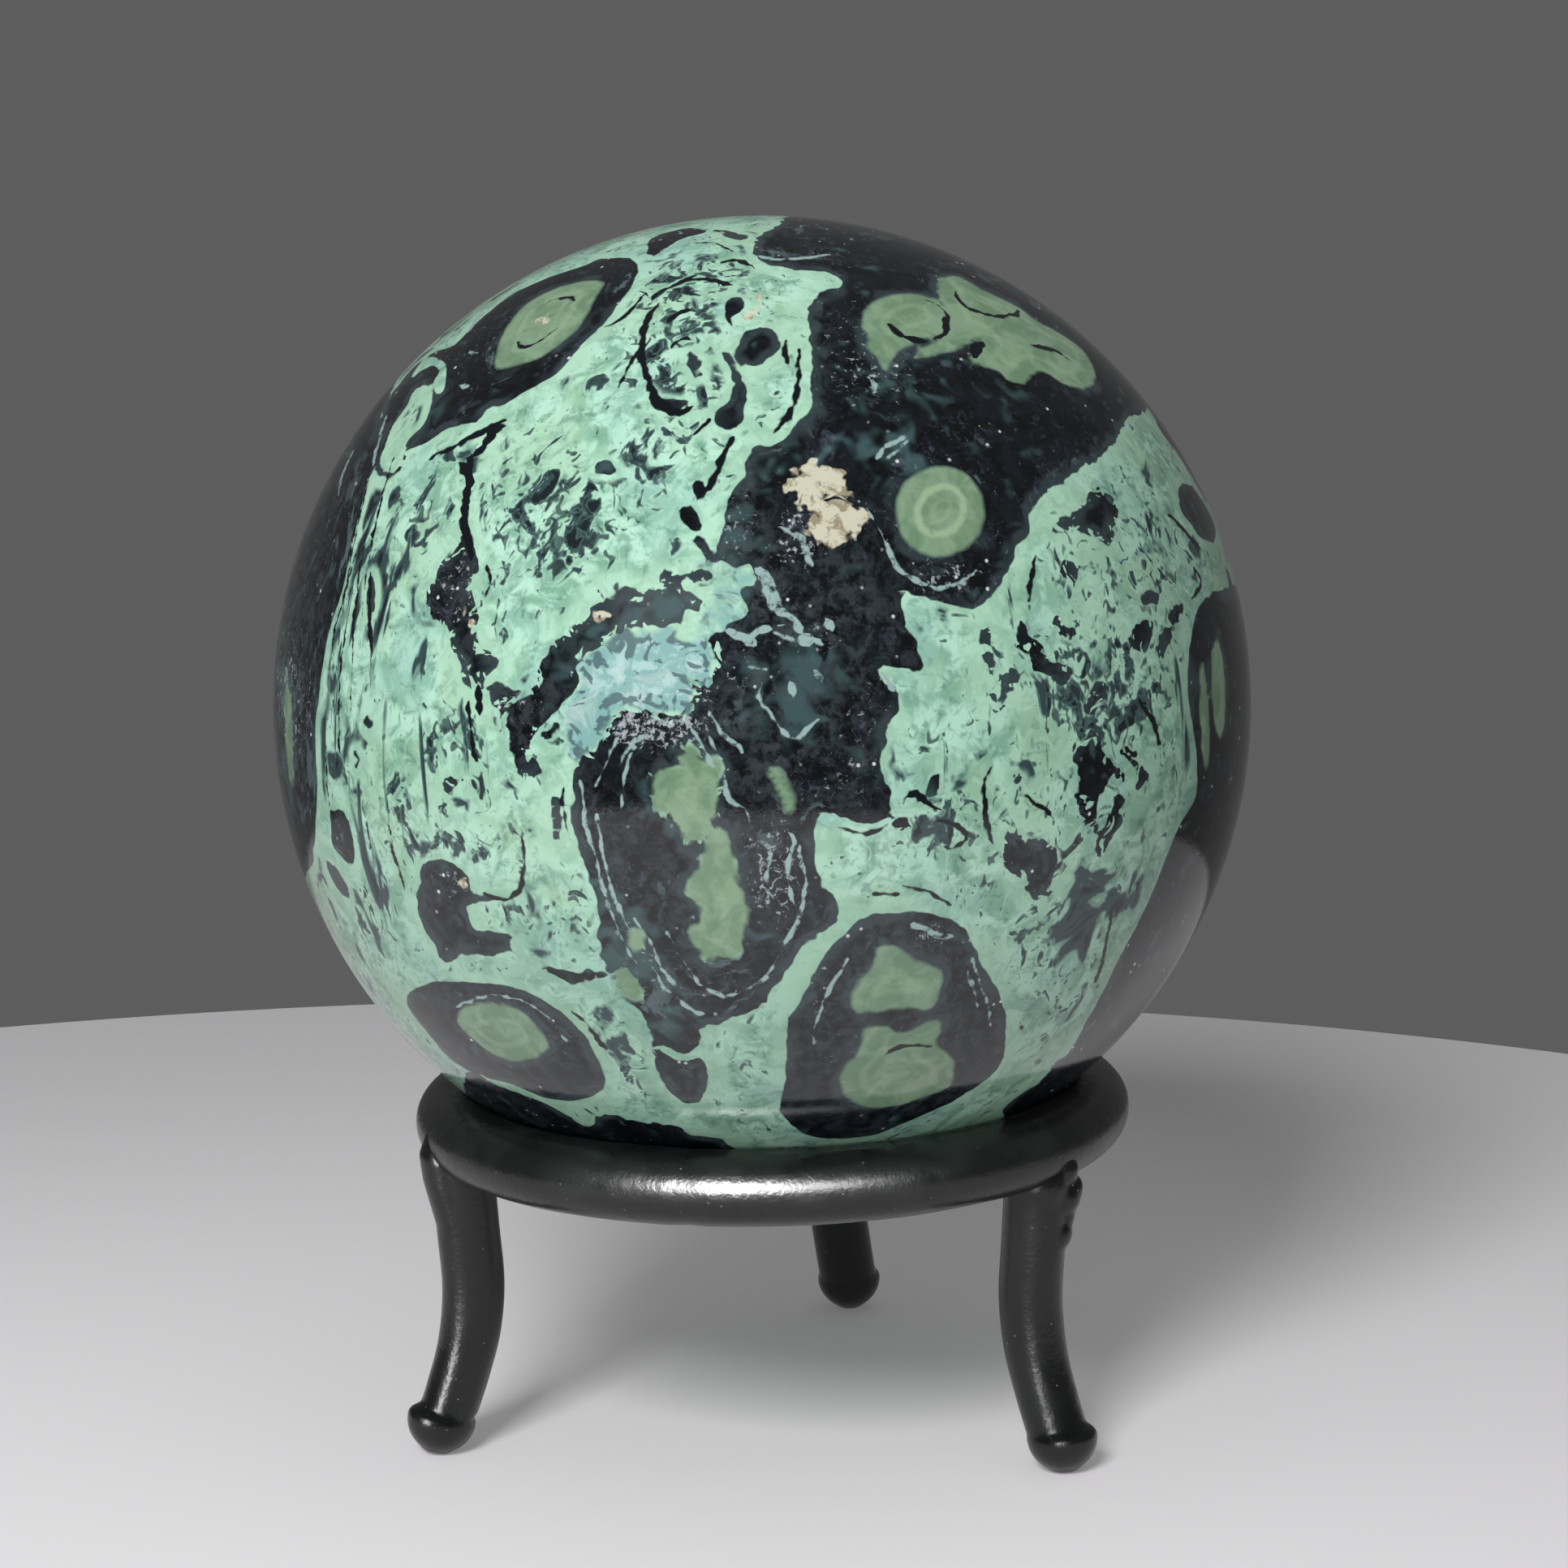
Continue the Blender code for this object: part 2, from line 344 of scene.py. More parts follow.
# The dark patch at the lower left, and the dark ground of the orb under it
dark_mass(0.15, seen_at([
    (518, 1066), (534, 1062), (551, 1063), (567, 1072), (576, 1083), (578, 1096), (589, 1105),
    (609, 1106), (628, 1107), (584, 1110), (578, 1121), (581, 1135), (589, 1146), (609, 1150),
    (625, 1149), (636, 1146), (642, 1152), (628, 1163), (639, 1176), (656, 1187), (678, 1193),
    (700, 1198), (722, 1196), (747, 1198), (747, 1207), (722, 1209), (700, 1209), (689, 1204),
    (669, 1196), (645, 1190), (628, 1179), (614, 1176), (584, 1175), (567, 1179), (545, 1183),
    (540, 1174), (534, 1163), (523, 1149), (518, 1132), (515, 1110), (518, 1091),
]))
dark_mass(0.05, seen_at([
    (501, 1229), (510, 1220), (523, 1212), (545, 1209), (600, 1211), (623, 1214), (645, 1220),
    (667, 1231), (689, 1245), (705, 1259), (722, 1278), (733, 1298), (741, 1314), (745, 1328),
    (744, 1339), (736, 1347), (711, 1356), (672, 1353), (628, 1335), (590, 1325), (555, 1305),
    (525, 1270), (505, 1245),
]))

# Dark rock along the bottom left next to the ring: partly a dark wavy band of the stone, partly painted shade
# and a painted reflection of the black ring
dark_mass(0.16, seen_at([
    (575, 1322), (610, 1336), (650, 1350), (690, 1368), (722, 1386), (745, 1372), (775, 1380), (805, 1384),
    (835, 1388), (852, 1398), (900, 1409), (900, 1440), (800, 1440), (700, 1420), (600, 1370),
]))
# A dark patch at the bottom right next to the ring: painted shade
dark_mass(0.12, seen_at([
    (1250, 1354), (1275, 1338), (1305, 1322), (1340, 1306), (1350, 1340), (1300, 1380), (1250, 1390),
    (1235, 1374),
]))

# The egg at the lower right of the middle, and the small wedge left of it
dark_mass(0.07, seen_at([
    (970, 1259), (978, 1248), (989, 1229), (1000, 1209), (1011, 1187), (1025, 1165), (1042, 1149),
    (1058, 1132), (1086, 1125), (1135, 1125), (1154, 1128), (1174, 1135), (1190, 1146), (1199, 1165),
    (1210, 1190), (1223, 1209), (1234, 1234), (1240, 1256), (1238, 1292), (1233, 1311), (1223, 1325),
    (1210, 1334), (1176, 1356), (1149, 1369), (1108, 1386), (1080, 1398), (1040, 1403), (1000, 1400),
    (976, 1386), (962, 1368), (965, 1347), (969, 1317), (970, 1289),
]))
dark_mass(0.12, seen_at([
    (802, 1276), (824, 1300), (849, 1309), (863, 1303), (874, 1323), (865, 1356), (854, 1361),
    (830, 1350), (819, 1336), (810, 1328),
]))

# The dark stroke in the green at the right, and the long dark lens at the right side
dark_mass(0.25, seen_at([
    (1320, 924), (1325, 913), (1339, 910), (1347, 902), (1353, 916), (1364, 927), (1378, 943),
    (1391, 957), (1389, 971), (1378, 965), (1364, 965), (1356, 985), (1353, 1001), (1356, 1020),
    (1364, 1007), (1372, 993), (1378, 979), (1386, 982), (1378, 996), (1378, 1012), (1367, 1034),
    (1361, 1054), (1350, 1054), (1347, 1037), (1339, 1018), (1331, 996), (1325, 965), (1323, 943),
]))
dark_mass(0.06, seen_at([
    (1491, 734), (1480, 742), (1474, 756), (1466, 794), (1464, 819), (1463, 847), (1466, 874),
    (1471, 902), (1474, 929), (1474, 976), (1463, 1001), (1449, 1026), (1430, 1075), (1415, 1110),
    (1400, 1140), (1385, 1170), (1370, 1200), (1352, 1235), (1335, 1265), (1315, 1300), (1295, 1318),
    (1330, 1335), (1400, 1300), (1480, 1200), (1540, 1100), (1580, 1000), (1590, 900), (1580, 800),
    (1550, 720), (1500, 728),
]))
dark_mass(0.1, seen_at([
    (1452, 601), (1466, 596), (1482, 618), (1496, 645), (1496, 667), (1479, 662), (1466, 645), (1455, 626),
]))

# Small dark spots and strokes near the top
for places in (
    [
        (908, 425), (919, 409), (938, 401), (955, 406), (963, 423), (955, 436), (938, 450), (919, 450),
        (908, 439),
    ],
    [(905, 365), (919, 376), (905, 390), (903, 403), (894, 398), (892, 381)],
    [
        (893, 430), (905, 447), (913, 462), (919, 490), (917, 510), (912, 525), (900, 530), (885, 525),
        (880, 512), (890, 500), (900, 490), (903, 470), (898, 455), (890, 440),
    ],
    [(851, 432), (862, 440), (868, 447), (858, 452), (868, 462), (855, 468), (850, 450)],
    [(798, 480), (812, 492), (852, 496), (840, 503), (810, 505)],
    [(836, 627), (845, 622), (858, 632), (866, 645), (862, 655), (850, 650), (840, 640)],
    [(855, 665), (865, 658), (872, 672), (884, 690), (872, 690)],
    [
        (798, 301), (803, 293), (828, 285), (850, 281), (872, 285), (856, 290), (831, 299), (809, 315),
        (799, 312),
    ],
    [(878, 283), (916, 288), (919, 294), (903, 296)],
    oval(862, 603, 9, 12),
    oval(746, 577, 15, 9, 10),
):
    dark_mass(0.12, seen_at(places))

# Small dark marks in the green at the right
for places in (
    [
        (1289, 656), (1308, 645), (1319, 634), (1330, 623), (1339, 612), (1350, 604), (1358, 598),
        (1361, 609), (1375, 620), (1377, 637), (1372, 656), (1375, 667), (1366, 673), (1358, 670),
        (1347, 662), (1330, 656), (1322, 648), (1303, 653),
    ],
    [
        (1308, 703), (1311, 692), (1319, 689), (1330, 693), (1341, 689), (1352, 695), (1350, 703),
        (1339, 704), (1333, 711), (1328, 728), (1319, 725), (1317, 714), (1308, 711),
    ],
    [
        (1218, 776), (1222, 781), (1218, 794), (1219, 803), (1225, 816), (1226, 830), (1218, 844),
        (1212, 850), (1218, 830), (1215, 814), (1208, 803), (1207, 792), (1211, 781),
    ],
    [
        (1259, 764), (1267, 783), (1278, 792), (1284, 800), (1284, 808), (1292, 819), (1309, 816),
        (1323, 825), (1317, 838), (1306, 844), (1295, 838), (1287, 830), (1273, 830), (1262, 827),
        (1270, 811), (1259, 803), (1252, 789), (1254, 775),
    ],
    [(1299, 758), (1306, 768), (1317, 772), (1328, 783), (1325, 792), (1314, 792), (1303, 778)],
    [
        (1380, 924), (1391, 920), (1400, 929), (1408, 946), (1419, 954), (1416, 965), (1405, 968),
        (1408, 979), (1400, 971), (1397, 951), (1386, 935),
    ],
    [
        (1238, 1030), (1245, 1018), (1260, 1025), (1275, 1035), (1300, 1043), (1305, 1055), (1306, 1080),
        (1300, 1092), (1292, 1105), (1270, 1102), (1262, 1090), (1250, 1075), (1238, 1065), (1235, 1045),
    ],
    [(1284, 1336), (1289, 1325), (1309, 1317), (1323, 1314), (1306, 1328)],
    oval(1417, 737, 12, 9, -20),
    oval(1406, 779, 14, 22, 20),
    oval(1434, 794, 8, 22, 15),
    oval(1448, 757, 10, 15, 15),
    oval(1244, 838, 14, 16),
    oval(1232, 862, 10, 12),
    oval(1153, 964, 7, 14, 20),
    oval(1110, 1016, 14, 8, 25),
    oval(1258, 957, 7, 7),
    oval(1350, 860, 10, 24, 25),
):
    dark_mass(0.22, seen_at(places))

# Small dark marks at the left and at the bottom
for places in (
    [
        (410, 996), (421, 998), (429, 1012), (435, 1034), (436, 1067), (424, 1059), (410, 1042),
        (409, 1018), (406, 1001),
    ],
    [(401, 1061), (410, 1063), (430, 1096), (427, 1106), (408, 1083)],
    oval(686, 1010, 6, 30, -3),
    oval(454, 888, 6, 11, 15),
    oval(439, 937, 4, 14),
    oval(767, 1162, 11, 12),
    oval(457, 733, 6, 26, 2),
):
    dark_mass(0.1, seen_at(places))

# Green islands inside the dark masses: first the orbs' olive middles
green_island(0.05, seen_at(oval(1158, 630, 54, 55)), olive=True)
green_island(0.04, seen_at([
    (611, 453), (614, 431), (622, 409), (639, 384), (661, 367), (688, 355), (716, 348), (743, 348),
    (738, 359), (727, 378), (713, 403), (688, 425), (661, 442), (633, 450),
]), olive=True)
green_island(0.06, seen_at([
    (1062, 398), (1068, 381), (1085, 367), (1112, 362), (1140, 365), (1159, 379), (1170, 395),
    (1168, 406), (1153, 414), (1137, 418), (1112, 428), (1101, 436), (1096, 450), (1091, 458),
    (1087, 450), (1082, 439), (1071, 434), (1068, 425), (1074, 417), (1065, 406),
]), olive=True)
green_island(0.1, seen_at([
    (1162, 342), (1182, 342), (1203, 354), (1232, 367), (1254, 378), (1279, 397), (1304, 410),
    (1326, 424), (1340, 439), (1348, 460), (1340, 478), (1315, 475), (1297, 464), (1279, 457), (1261, 471),
    (1243, 468), (1232, 457), (1210, 450), (1192, 448), (1196, 439), (1210, 414), (1196, 417), (1182, 428),
    (1160, 435), (1138, 439), (1124, 439), (1149, 424), (1164, 414), (1171, 396), (1167, 381), (1160, 370),
    (1156, 356),
]), olive=True)
green_island(0.22, seen_at([
    (810, 949), (829, 949), (845, 946), (837, 932), (845, 921), (856, 924), (867, 935), (884, 935),
    (887, 951), (883, 971), (884, 993), (878, 1007), (877, 1026), (850, 1035), (834, 1026), (823, 1001),
    (804, 993), (801, 971),
]), olive=True)
green_island(0.18, seen_at([
    (872, 1018), (872, 1041), (865, 1063), (852, 1085), (849, 1099), (854, 1110), (865, 1121),
    (865, 1132), (852, 1143), (852, 1157), (863, 1176), (879, 1182), (904, 1179), (912, 1171),
    (921, 1149), (923, 1124), (918, 1105), (904, 1074), (901, 1050), (890, 1022),
]), olive=True)
green_island(0.1, seen_at([
    (945, 949), (955, 945), (965, 955), (975, 975), (980, 995), (969, 1001), (958, 979), (950, 962),
]), olive=True)
green_island(0.1, seen_at([
    (565, 1259), (567, 1245), (587, 1237), (614, 1237), (636, 1243), (653, 1256), (667, 1273),
    (674, 1289), (664, 1300), (642, 1306), (617, 1303), (598, 1292), (578, 1276),
]), olive=True)
green_island(0.1, seen_at([
    (1080, 1165), (1097, 1163), (1116, 1176), (1135, 1187), (1157, 1196), (1157, 1220), (1146, 1243),
    (1127, 1243), (1097, 1243), (1086, 1248), (1056, 1245), (1050, 1229), (1058, 1209), (1078, 1187),
]), olive=True)
green_island(0.1, seen_at([
    (1064, 1265), (1088, 1265), (1108, 1273), (1135, 1265), (1152, 1254), (1157, 1270), (1152, 1287),
    (1171, 1300), (1175, 1317), (1171, 1336), (1146, 1350), (1108, 1361), (1080, 1364), (1064, 1361),
    (1045, 1353), (1036, 1334), (1042, 1314), (1061, 1292),
]), olive=True)

# The rest of the islands: the hook and the pale lens at the upper left, and the muted lenses at the sides
green_island(0.05, seen_at([
    (523, 442), (545, 445), (550, 458), (548, 478), (539, 486), (534, 472), (542, 458), (534, 450),
    (517, 458), (506, 467),
]))
green_island(0.05, seen_at([
    (520, 475), (530, 480), (531, 500), (523, 522), (504, 541), (495, 566), (487, 582), (473, 580),
    (468, 571), (473, 552), (484, 525), (501, 500), (509, 483),
]))
green_island(0.1, seen_at(oval(1484, 882, 5, 68, -2)), olive=True)
green_island(0.1, seen_at(oval(1501, 848, 8, 62, -2)), olive=True)
green_island(0.2, seen_at(oval(784, 1159, 8, 16)), olive=True)
green_island(0.2, seen_at(oval(774, 1212, 10, 20, -30)), olive=True)
green_island(0.2, seen_at(oval(356, 900, 4, 75, -2)), olive=True)
green_island(0.2, seen_at(oval(1273, 1008, 14, 9, 20)))

# The pale blue-green patch with its frayed rim, the cream patch, and what is dark teal
AQUA = seen_at([
    (746, 794), (760, 781), (774, 774), (786, 786), (790, 775), (804, 786), (810, 778), (821, 771),
    (832, 775), (834, 789), (859, 792), (870, 789), (877, 805), (873, 822), (876, 841), (870, 850),
    (856, 833), (848, 833), (854, 861), (845, 877), (801, 874), (763, 869), (741, 907), (724, 927),
    (710, 938), (702, 932), (699, 877), (708, 861), (719, 833), (705, 825), (713, 814), (730, 805),
])
green_island(0.3, AQUA)
aqua_depth = depth_in(AQUA)
AQUA_BESIDE = seen_at([
    (856, 698), (872, 690), (905, 694), (926, 698), (927, 725), (918, 745), (922, 762), (900, 774),
    (880, 786), (862, 780), (866, 760), (876, 742), (882, 722), (866, 714),
])
aqua_depth = np.maximum(aqua_depth, np.minimum(depth_in(AQUA_BESIDE), 0.0) - 0.05)
aqua_core = depth_in(seen_at([
    (755, 800), (785, 790), (835, 795), (868, 800), (866, 825), (845, 850), (838, 872), (790, 868),
    (750, 862), (728, 850), (735, 820),
]))
cream_depth = depth_in(seen_at([
    (999, 566), (1010, 574), (1027, 577), (1038, 583), (1046, 610), (1051, 621), (1068, 624), (1071, 640),
    (1063, 654), (1043, 665), (1024, 674), (1010, 674), (996, 657), (991, 646), (999, 635), (996, 627),
    (983, 621), (977, 607), (969, 605), (969, 591), (980, 580),
]), 0.3)
for places in (
    oval(670, 395, 10, 4, -20),
    oval(922, 389, 16, 6, -30),
    oval(936, 367, 6, 5),
    oval(739, 760, 12, 6, -10),
    oval(578, 762, 7, 12),
    oval(564, 1085, 9, 8),
):
    cream_depth = np.maximum(cream_depth, depth_in(seen_at(places)))

# The back, which the photo doesn't show: more orbs, masses and strokes of the same kinds
chance = random.Random(41)
ORB_CORNERS = 12
ROUGH_DEGREES = 2.2
POLE_WIDENING = 0.3
LINE_STEP_DEGREES = 4.5
FRONT_EDGE = 0.9
back_dark_lines = []
back_pale_lines = []


def orb(turn, rise, width, height, lean, ragged, rim, middles):
    """A dark egg on the side or back, in degrees over the stone, with its olive middle and arcs about it."""
    wobble = [chance.uniform(0.93, 1.07) for _ in range(ORB_CORNERS)]
    tilt = math.radians(lean)

    def outline(share, first=0, count=ORB_CORNERS):
        places = []
        for k in range(first, first + count):
            around = math.radians(360 / ORB_CORNERS * k)
            wide = width * share * wobble[k % ORB_CORNERS] * math.cos(around)
            high = height * share * wobble[k % ORB_CORNERS] * math.sin(around)
            rising = wide * math.sin(tilt) + high * math.cos(tilt)
            turning = (wide * math.cos(tilt) - high * math.sin(tilt)) / math.cos(math.radians(rise))
            places.append((turn + turning, rise + rising))
        return round_about(places)

    dark_mass(ragged, outline(1.0))
    if middles:
        green_island(ragged * 1.2, outline(rim), olive=True)
        first = chance.randrange(ORB_CORNERS)
        back_pale_lines.append((chance.uniform(3, 6), outline(0.86, first, 5)))
        back_dark_lines.append((chance.uniform(4, 7), outline(1.16, first + 3, 5)))
        back_dark_lines.append((chance.uniform(3, 6), outline(1.28, first + 7, 4)))
        back_dark_lines.append((chance.uniform(4, 7), outline(rim * 0.62, first + 2, 4)))


def roughened(places):
    """An outline on the side or back with two more places set a little off between each two."""
    fuller = []
    for (turn, rise), (next_turn, next_rise) in zip(places, places[1:] + places[:1]):
        fuller.append((turn, rise))
        for share in (0.33, 0.67):
            level_share = max(POLE_WIDENING, math.cos(math.radians(rise)))
            turn_off = chance.uniform(-ROUGH_DEGREES, ROUGH_DEGREES) / level_share
            rise_off = chance.uniform(-ROUGH_DEGREES, ROUGH_DEGREES)
            turn_at = turn + (next_turn - turn) * share + turn_off
            rise_at = rise + (next_rise - rise) * share + rise_off
            fuller.append((turn_at, rise_at))
    return round_about(fuller)


dark_mass(0.2, roughened([
    (-58, 62), (-30, 66), (0, 58), (22, 52), (38, 40), (44, 24), (40, 8), (30, -4), (34, -18), (26, -30),
    (10, -36), (-4, -28), (-8, -12), (2, 2), (10, 16), (4, 30), (-14, 38), (-34, 40), (-52, 48),
]))
dark_mass(0.22, roughened([
    (-78, 30), (-62, 34), (-48, 26), (-40, 12), (-30, 0), (-26, -14), (-34, -26), (-46, -22), (-50, -8),
    (-58, 6), (-70, 14), (-80, 20),
]))
dark_mass(0.16, roughened([
    (60, -8), (74, -4), (88, -14), (94, -28), (86, -44), (66, -52), (46, -50), (40, -38), (50, -26),
    (56, -16),
]))
dark_mass(0.2, roughened([
    (66, 40), (80, 46), (96, 44), (104, 34), (98, 24), (86, 22), (76, 10), (64, 8), (58, 20), (60, 32),
]))
dark_mass(0.2, roughened([
    (-100, -34), (-84, -28), (-66, -36), (-52, -46), (-40, -60), (-60, -68), (-90, -62), (-112, -52),
    (-112, -42),
]))
dark_mass(0.14, roughened([
    (150, -62), (180, -66), (210, -60), (230, -66), (250, -74), (200, -82), (150, -78), (120, -70),
]))
green_island(0.2, roughened([
    (-92, 38), (-80, 37), (-69, 25), (-64, 8), (-70, -1), (-76, 9), (-82, 20), (-91, 27),
]))
orb(-88, -4, 11, 13, 14, 0.05, 0.55, True)
orb(18, 26, 11, 9, 10, 0.03, 0.62, True)
orb(22, -14, 9, 12, -15, 0.06, 0.6, True)
orb(-20, 55, 12, 7, 5, 0.05, 0.6, True)
orb(-96, -44, 12, 8, -20, 0.06, 0.62, True)
orb(70, -30, 13, 10, 15, 0.04, 0.64, True)
orb(84, 32, 10, 7, -10, 0.05, 0.6, True)
orb(-44, -38, 7, 9, 20, 0.07, 0.62, True)
orb(-40, 22, 7, 10, 0, 0.08, 0.58, True)
orb(-4, -58, 16, 10, 0, 0.06, 0.62, True)
orb(-70, 54, 9, 5, 30, 0.1, 0.5, False)
orb(60, 62, 10, 5, -15, 0.1, 0.5, False)
orb(104, 4, 3, 9, 10, 0.12, 0.5, False)
orb(-14, 6, 3, 6, 25, 0.2, 0.5, False)
orb(-62, -8, 3, 8, -10, 0.2, 0.5, False)
orb(50, -8, 4, 3, 0, 0.2, 0.5, False)
for _ in range(46):
    orb(
        chance.uniform(-105, 105),
        math.degrees(math.asin(chance.uniform(-0.96, 0.96))),
        chance.uniform(0.7, 2.2),
        chance.uniform(0.7, 3.6),
        chance.uniform(-60, 60),
        0.22,
        0.5,
        False,
    )


def wandering_line():
    """A line of about a centimetre over the side or back, with its width. Lines near each other run alike."""
    turn = chance.uniform(-104, 104)
    rise = math.degrees(math.asin(chance.uniform(-0.92, 0.92)))
    places = []
    for _ in range(chance.randrange(4, 7)):
        places.append((turn, rise))
        heading = 80 + 60 * math.sin(math.radians(turn * 2.2)) + 45 * math.cos(math.radians(rise * 3))
        level_share = max(POLE_WIDENING, math.cos(math.radians(rise)))
        turn += LINE_STEP_DEGREES * math.cos(math.radians(heading)) / level_share
        rise += LINE_STEP_DEGREES * math.sin(math.radians(heading))
    return chance.uniform(3, 9), round_about(places)


back_dark_lines += [wandering_line() for _ in range(60)]
back_pale_lines += [wandering_line() for _ in range(14)]


def out_of_view(lines):
    """Those of the lines that don't reach what the photo shows."""
    return [(width, line) for width, line in lines if (line @ camera_offset).max() < FRONT_EDGE]


back_dark_lines = out_of_view(back_dark_lines)
back_pale_lines = out_of_view(back_pale_lines)

edge_ragged = rough_sum / rough_weight

# Where each corner shows in the photo, and whether it shows there at all
from_camera = outward - camera_offset
in_view = from_camera @ view_axes.T
shown_x = in_view[:, 0] / in_view[:, 2] * FOCAL_PIXELS + PHOTO_WIDTH / 2
shown_y = in_view[:, 1] / in_view[:, 2] * FOCAL_PIXELS + PHOTO_WIDTH / 2
facing = outward @ camera_offset > 1.0


def raised(share, zones, spread=1.6):
    """A share raised over soft ovals in front: x, y, half width, half height and strength, in the photo."""
    for x, y, half_width, half_height, strength in zones:
        reach = np.hypot((shown_x - x) / half_width, (shown_y - y) / half_height)
        share = np.maximum(share, np.where(facing, strength * np.clip(spread - reach, 0, 1), 0))
    return share


# How clearly the olive middles are ringed
ring_share = np.where(facing, 0.35, 0.8)
ring_share[depth_in(seen_at(oval(1160, 632, 62, 62))) > 0] = 1.0

# How thickly the green is flecked: some parts in front are known, and the back is left to chance
fleck_share = np.where(facing, 0.12, 0.45)
fleck_boxes = [
    (615, 585, 740, 705, 1.0), (716, 558, 810, 627, 0.9), (850, 475, 894, 500, 0.9),
    (506, 625, 528, 673, 0.9), (523, 882, 578, 943, 0.9), (473, 957, 507, 1007, 0.8),
    (490, 1028, 600, 1063, 0.7), (441, 1096, 457, 1165, 0.7), (600, 1110, 680, 1150, 0.9),
    (886, 329, 919, 351, 0.8), (1290, 780, 1440, 910, 0.9), (1397, 618, 1440, 670, 0.8),
    (1435, 651, 1479, 728, 0.7), (1182, 1055, 1229, 1094, 0.7), (1259, 1116, 1356, 1196, 0.65),
    (1270, 1212, 1339, 1248, 0.6), (795, 370, 900, 520, 0.9), (780, 330, 900, 400, 0.7),
    (1120, 980, 1220, 1060, 0.6), (1230, 940, 1330, 1060, 0.5), (700, 1080, 740, 1200, 0.6),
    (1300, 690, 1460, 800, 0.6), (700, 860, 760, 930, 0.6), (760, 1250, 830, 1340, 0.6),
]
fleck_zones = [
    ((left + right) / 2, (top + bottom) / 2, (right - left) / 2, (bottom - top) / 2, strength)
    for left, top, right, bottom, strength in fleck_boxes
]
fleck_share = raised(fleck_share, fleck_zones, spread=1.8)

# Dark veiled ground: what looks grey-lavender or teal within the black
teal_share = np.where(facing, 0.0, 0.25)
teal_share = raised(teal_share, [
    (815, 745, 70, 45, 0.75), (735, 790, 40, 30, 0.45), (905, 660, 24, 50, 0.7), (1090, 560, 60, 40, 0.5),
    (1120, 480, 70, 40, 0.35), (960, 560, 40, 30, 0.5), (975, 850, 50, 50, 0.95),
    (1150, 940, 40, 40, 0.3), (1240, 850, 30, 40, 0.8), (770, 1170, 40, 60, 0.9),
    (800, 1240, 50, 40, 0.7), (740, 575, 30, 14, 0.7), (720, 1110, 30, 50, 0.8), (340, 900, 25, 120, 0.6),
    (1210, 360, 60, 30, 0.4), (1100, 550, 16, 12, 1.0), (1050, 545, 24, 20, 0.8), (890, 735, 30, 30, 0.5),
])

# Where the black is full of grey grit
grit_share = np.where(facing, 0.0, 0.2)
grit_share = raised(grit_share, [
    (990, 790, 120, 130, 0.7), (930, 910, 120, 80, 0.7), (1010, 950, 80, 60, 0.5),
    (850, 1090, 150, 190, 0.45), (1100, 1250, 130, 140, 0.55), (620, 1280, 110, 60, 0.5),
    (640, 860, 60, 100, 0.6), (780, 750, 110, 50, 0.4), (560, 740, 40, 70, 0.5), (905, 650, 40, 60, 0.9),
    (1000, 430, 30, 130, 0.3), (350, 850, 60, 300, 0.5), (560, 1120, 60, 60, 0.4),
    (1260, 1070, 50, 50, 0.3),
])

# Where the black is frosted with pale crumbs
frost_share = np.where(facing, 0.0, 0.12)
frost_share = raised(frost_share, [
    (805, 893, 75, 30, 1.0), (850, 860, 40, 30, 0.7), (985, 665, 30, 40, 0.8), (1070, 460, 60, 40, 0.6),
    (950, 1070, 30, 60, 0.8), (1160, 712, 60, 18, 0.7), (905, 655, 26, 50, 0.6), (890, 830, 60, 40, 0.5),
    (1040, 390, 40, 60, 0.4), (1100, 840, 30, 20, 0.7), (800, 1200, 40, 40, 0.5),
    (560, 1085, 30, 20, 0.6), (565, 730, 30, 50, 0.6), (1150, 1150, 50, 14, 0.6), (360, 860, 24, 80, 0.7),
    (640, 870, 30, 20, 0.6), (880, 1120, 60, 110, 0.35), (1070, 900, 40, 60, 0.45),
    (1020, 960, 60, 30, 0.5), (1160, 630, 100, 110, 0.3), (1030, 300, 60, 20, 0.4),
    (960, 1080, 24, 70, 0.8), (1090, 1300, 90, 40, 0.35), (1010, 1220, 20, 60, 0.5),
    (580, 440, 60, 60, 0.35), (920, 720, 40, 30, 0.5), (1010, 790, 30, 20, 0.6),
])

# How thickly dark threads run along the masses in the green, and pale ones in the dark
thread_share = np.where(facing, 0.1, 0.35)
thread_share = raised(thread_share, [
    (425, 780, 28, 260, 1.0), (490, 480, 40, 70, 0.8), (850, 350, 80, 50, 0.8), (800, 450, 60, 60, 0.5),
    (965, 440, 30, 100, 0.4), (790, 1250, 70, 70, 0.9), (1360, 1140, 60, 110, 0.8),
    (1430, 700, 50, 70, 0.5), (690, 1250, 60, 60, 0.5), (360, 880, 40, 250, 1.0),
    (860, 1215, 90, 60, 0.8), (940, 950, 70, 100, 0.6), (1010, 300, 120, 40, 0.6),
    (1150, 960, 60, 60, 0.4), (640, 420, 120, 80, 0.3), (1090, 1160, 90, 40, 0.5),
])

# Where dark threads run straight up and down
upright_share = np.where(facing, 0.0, 0.2)
upright_share = raised(upright_share, [
    (440, 760, 50, 280, 1.0), (490, 560, 40, 90, 0.8), (520, 850, 60, 160, 0.6), (590, 930, 20, 90, 0.8),
    (470, 1080, 40, 120, 0.8), (1455, 900, 14, 150, 0.8), (1400, 1080, 30, 120, 0.5),
    (1260, 730, 20, 50, 0.5),
])

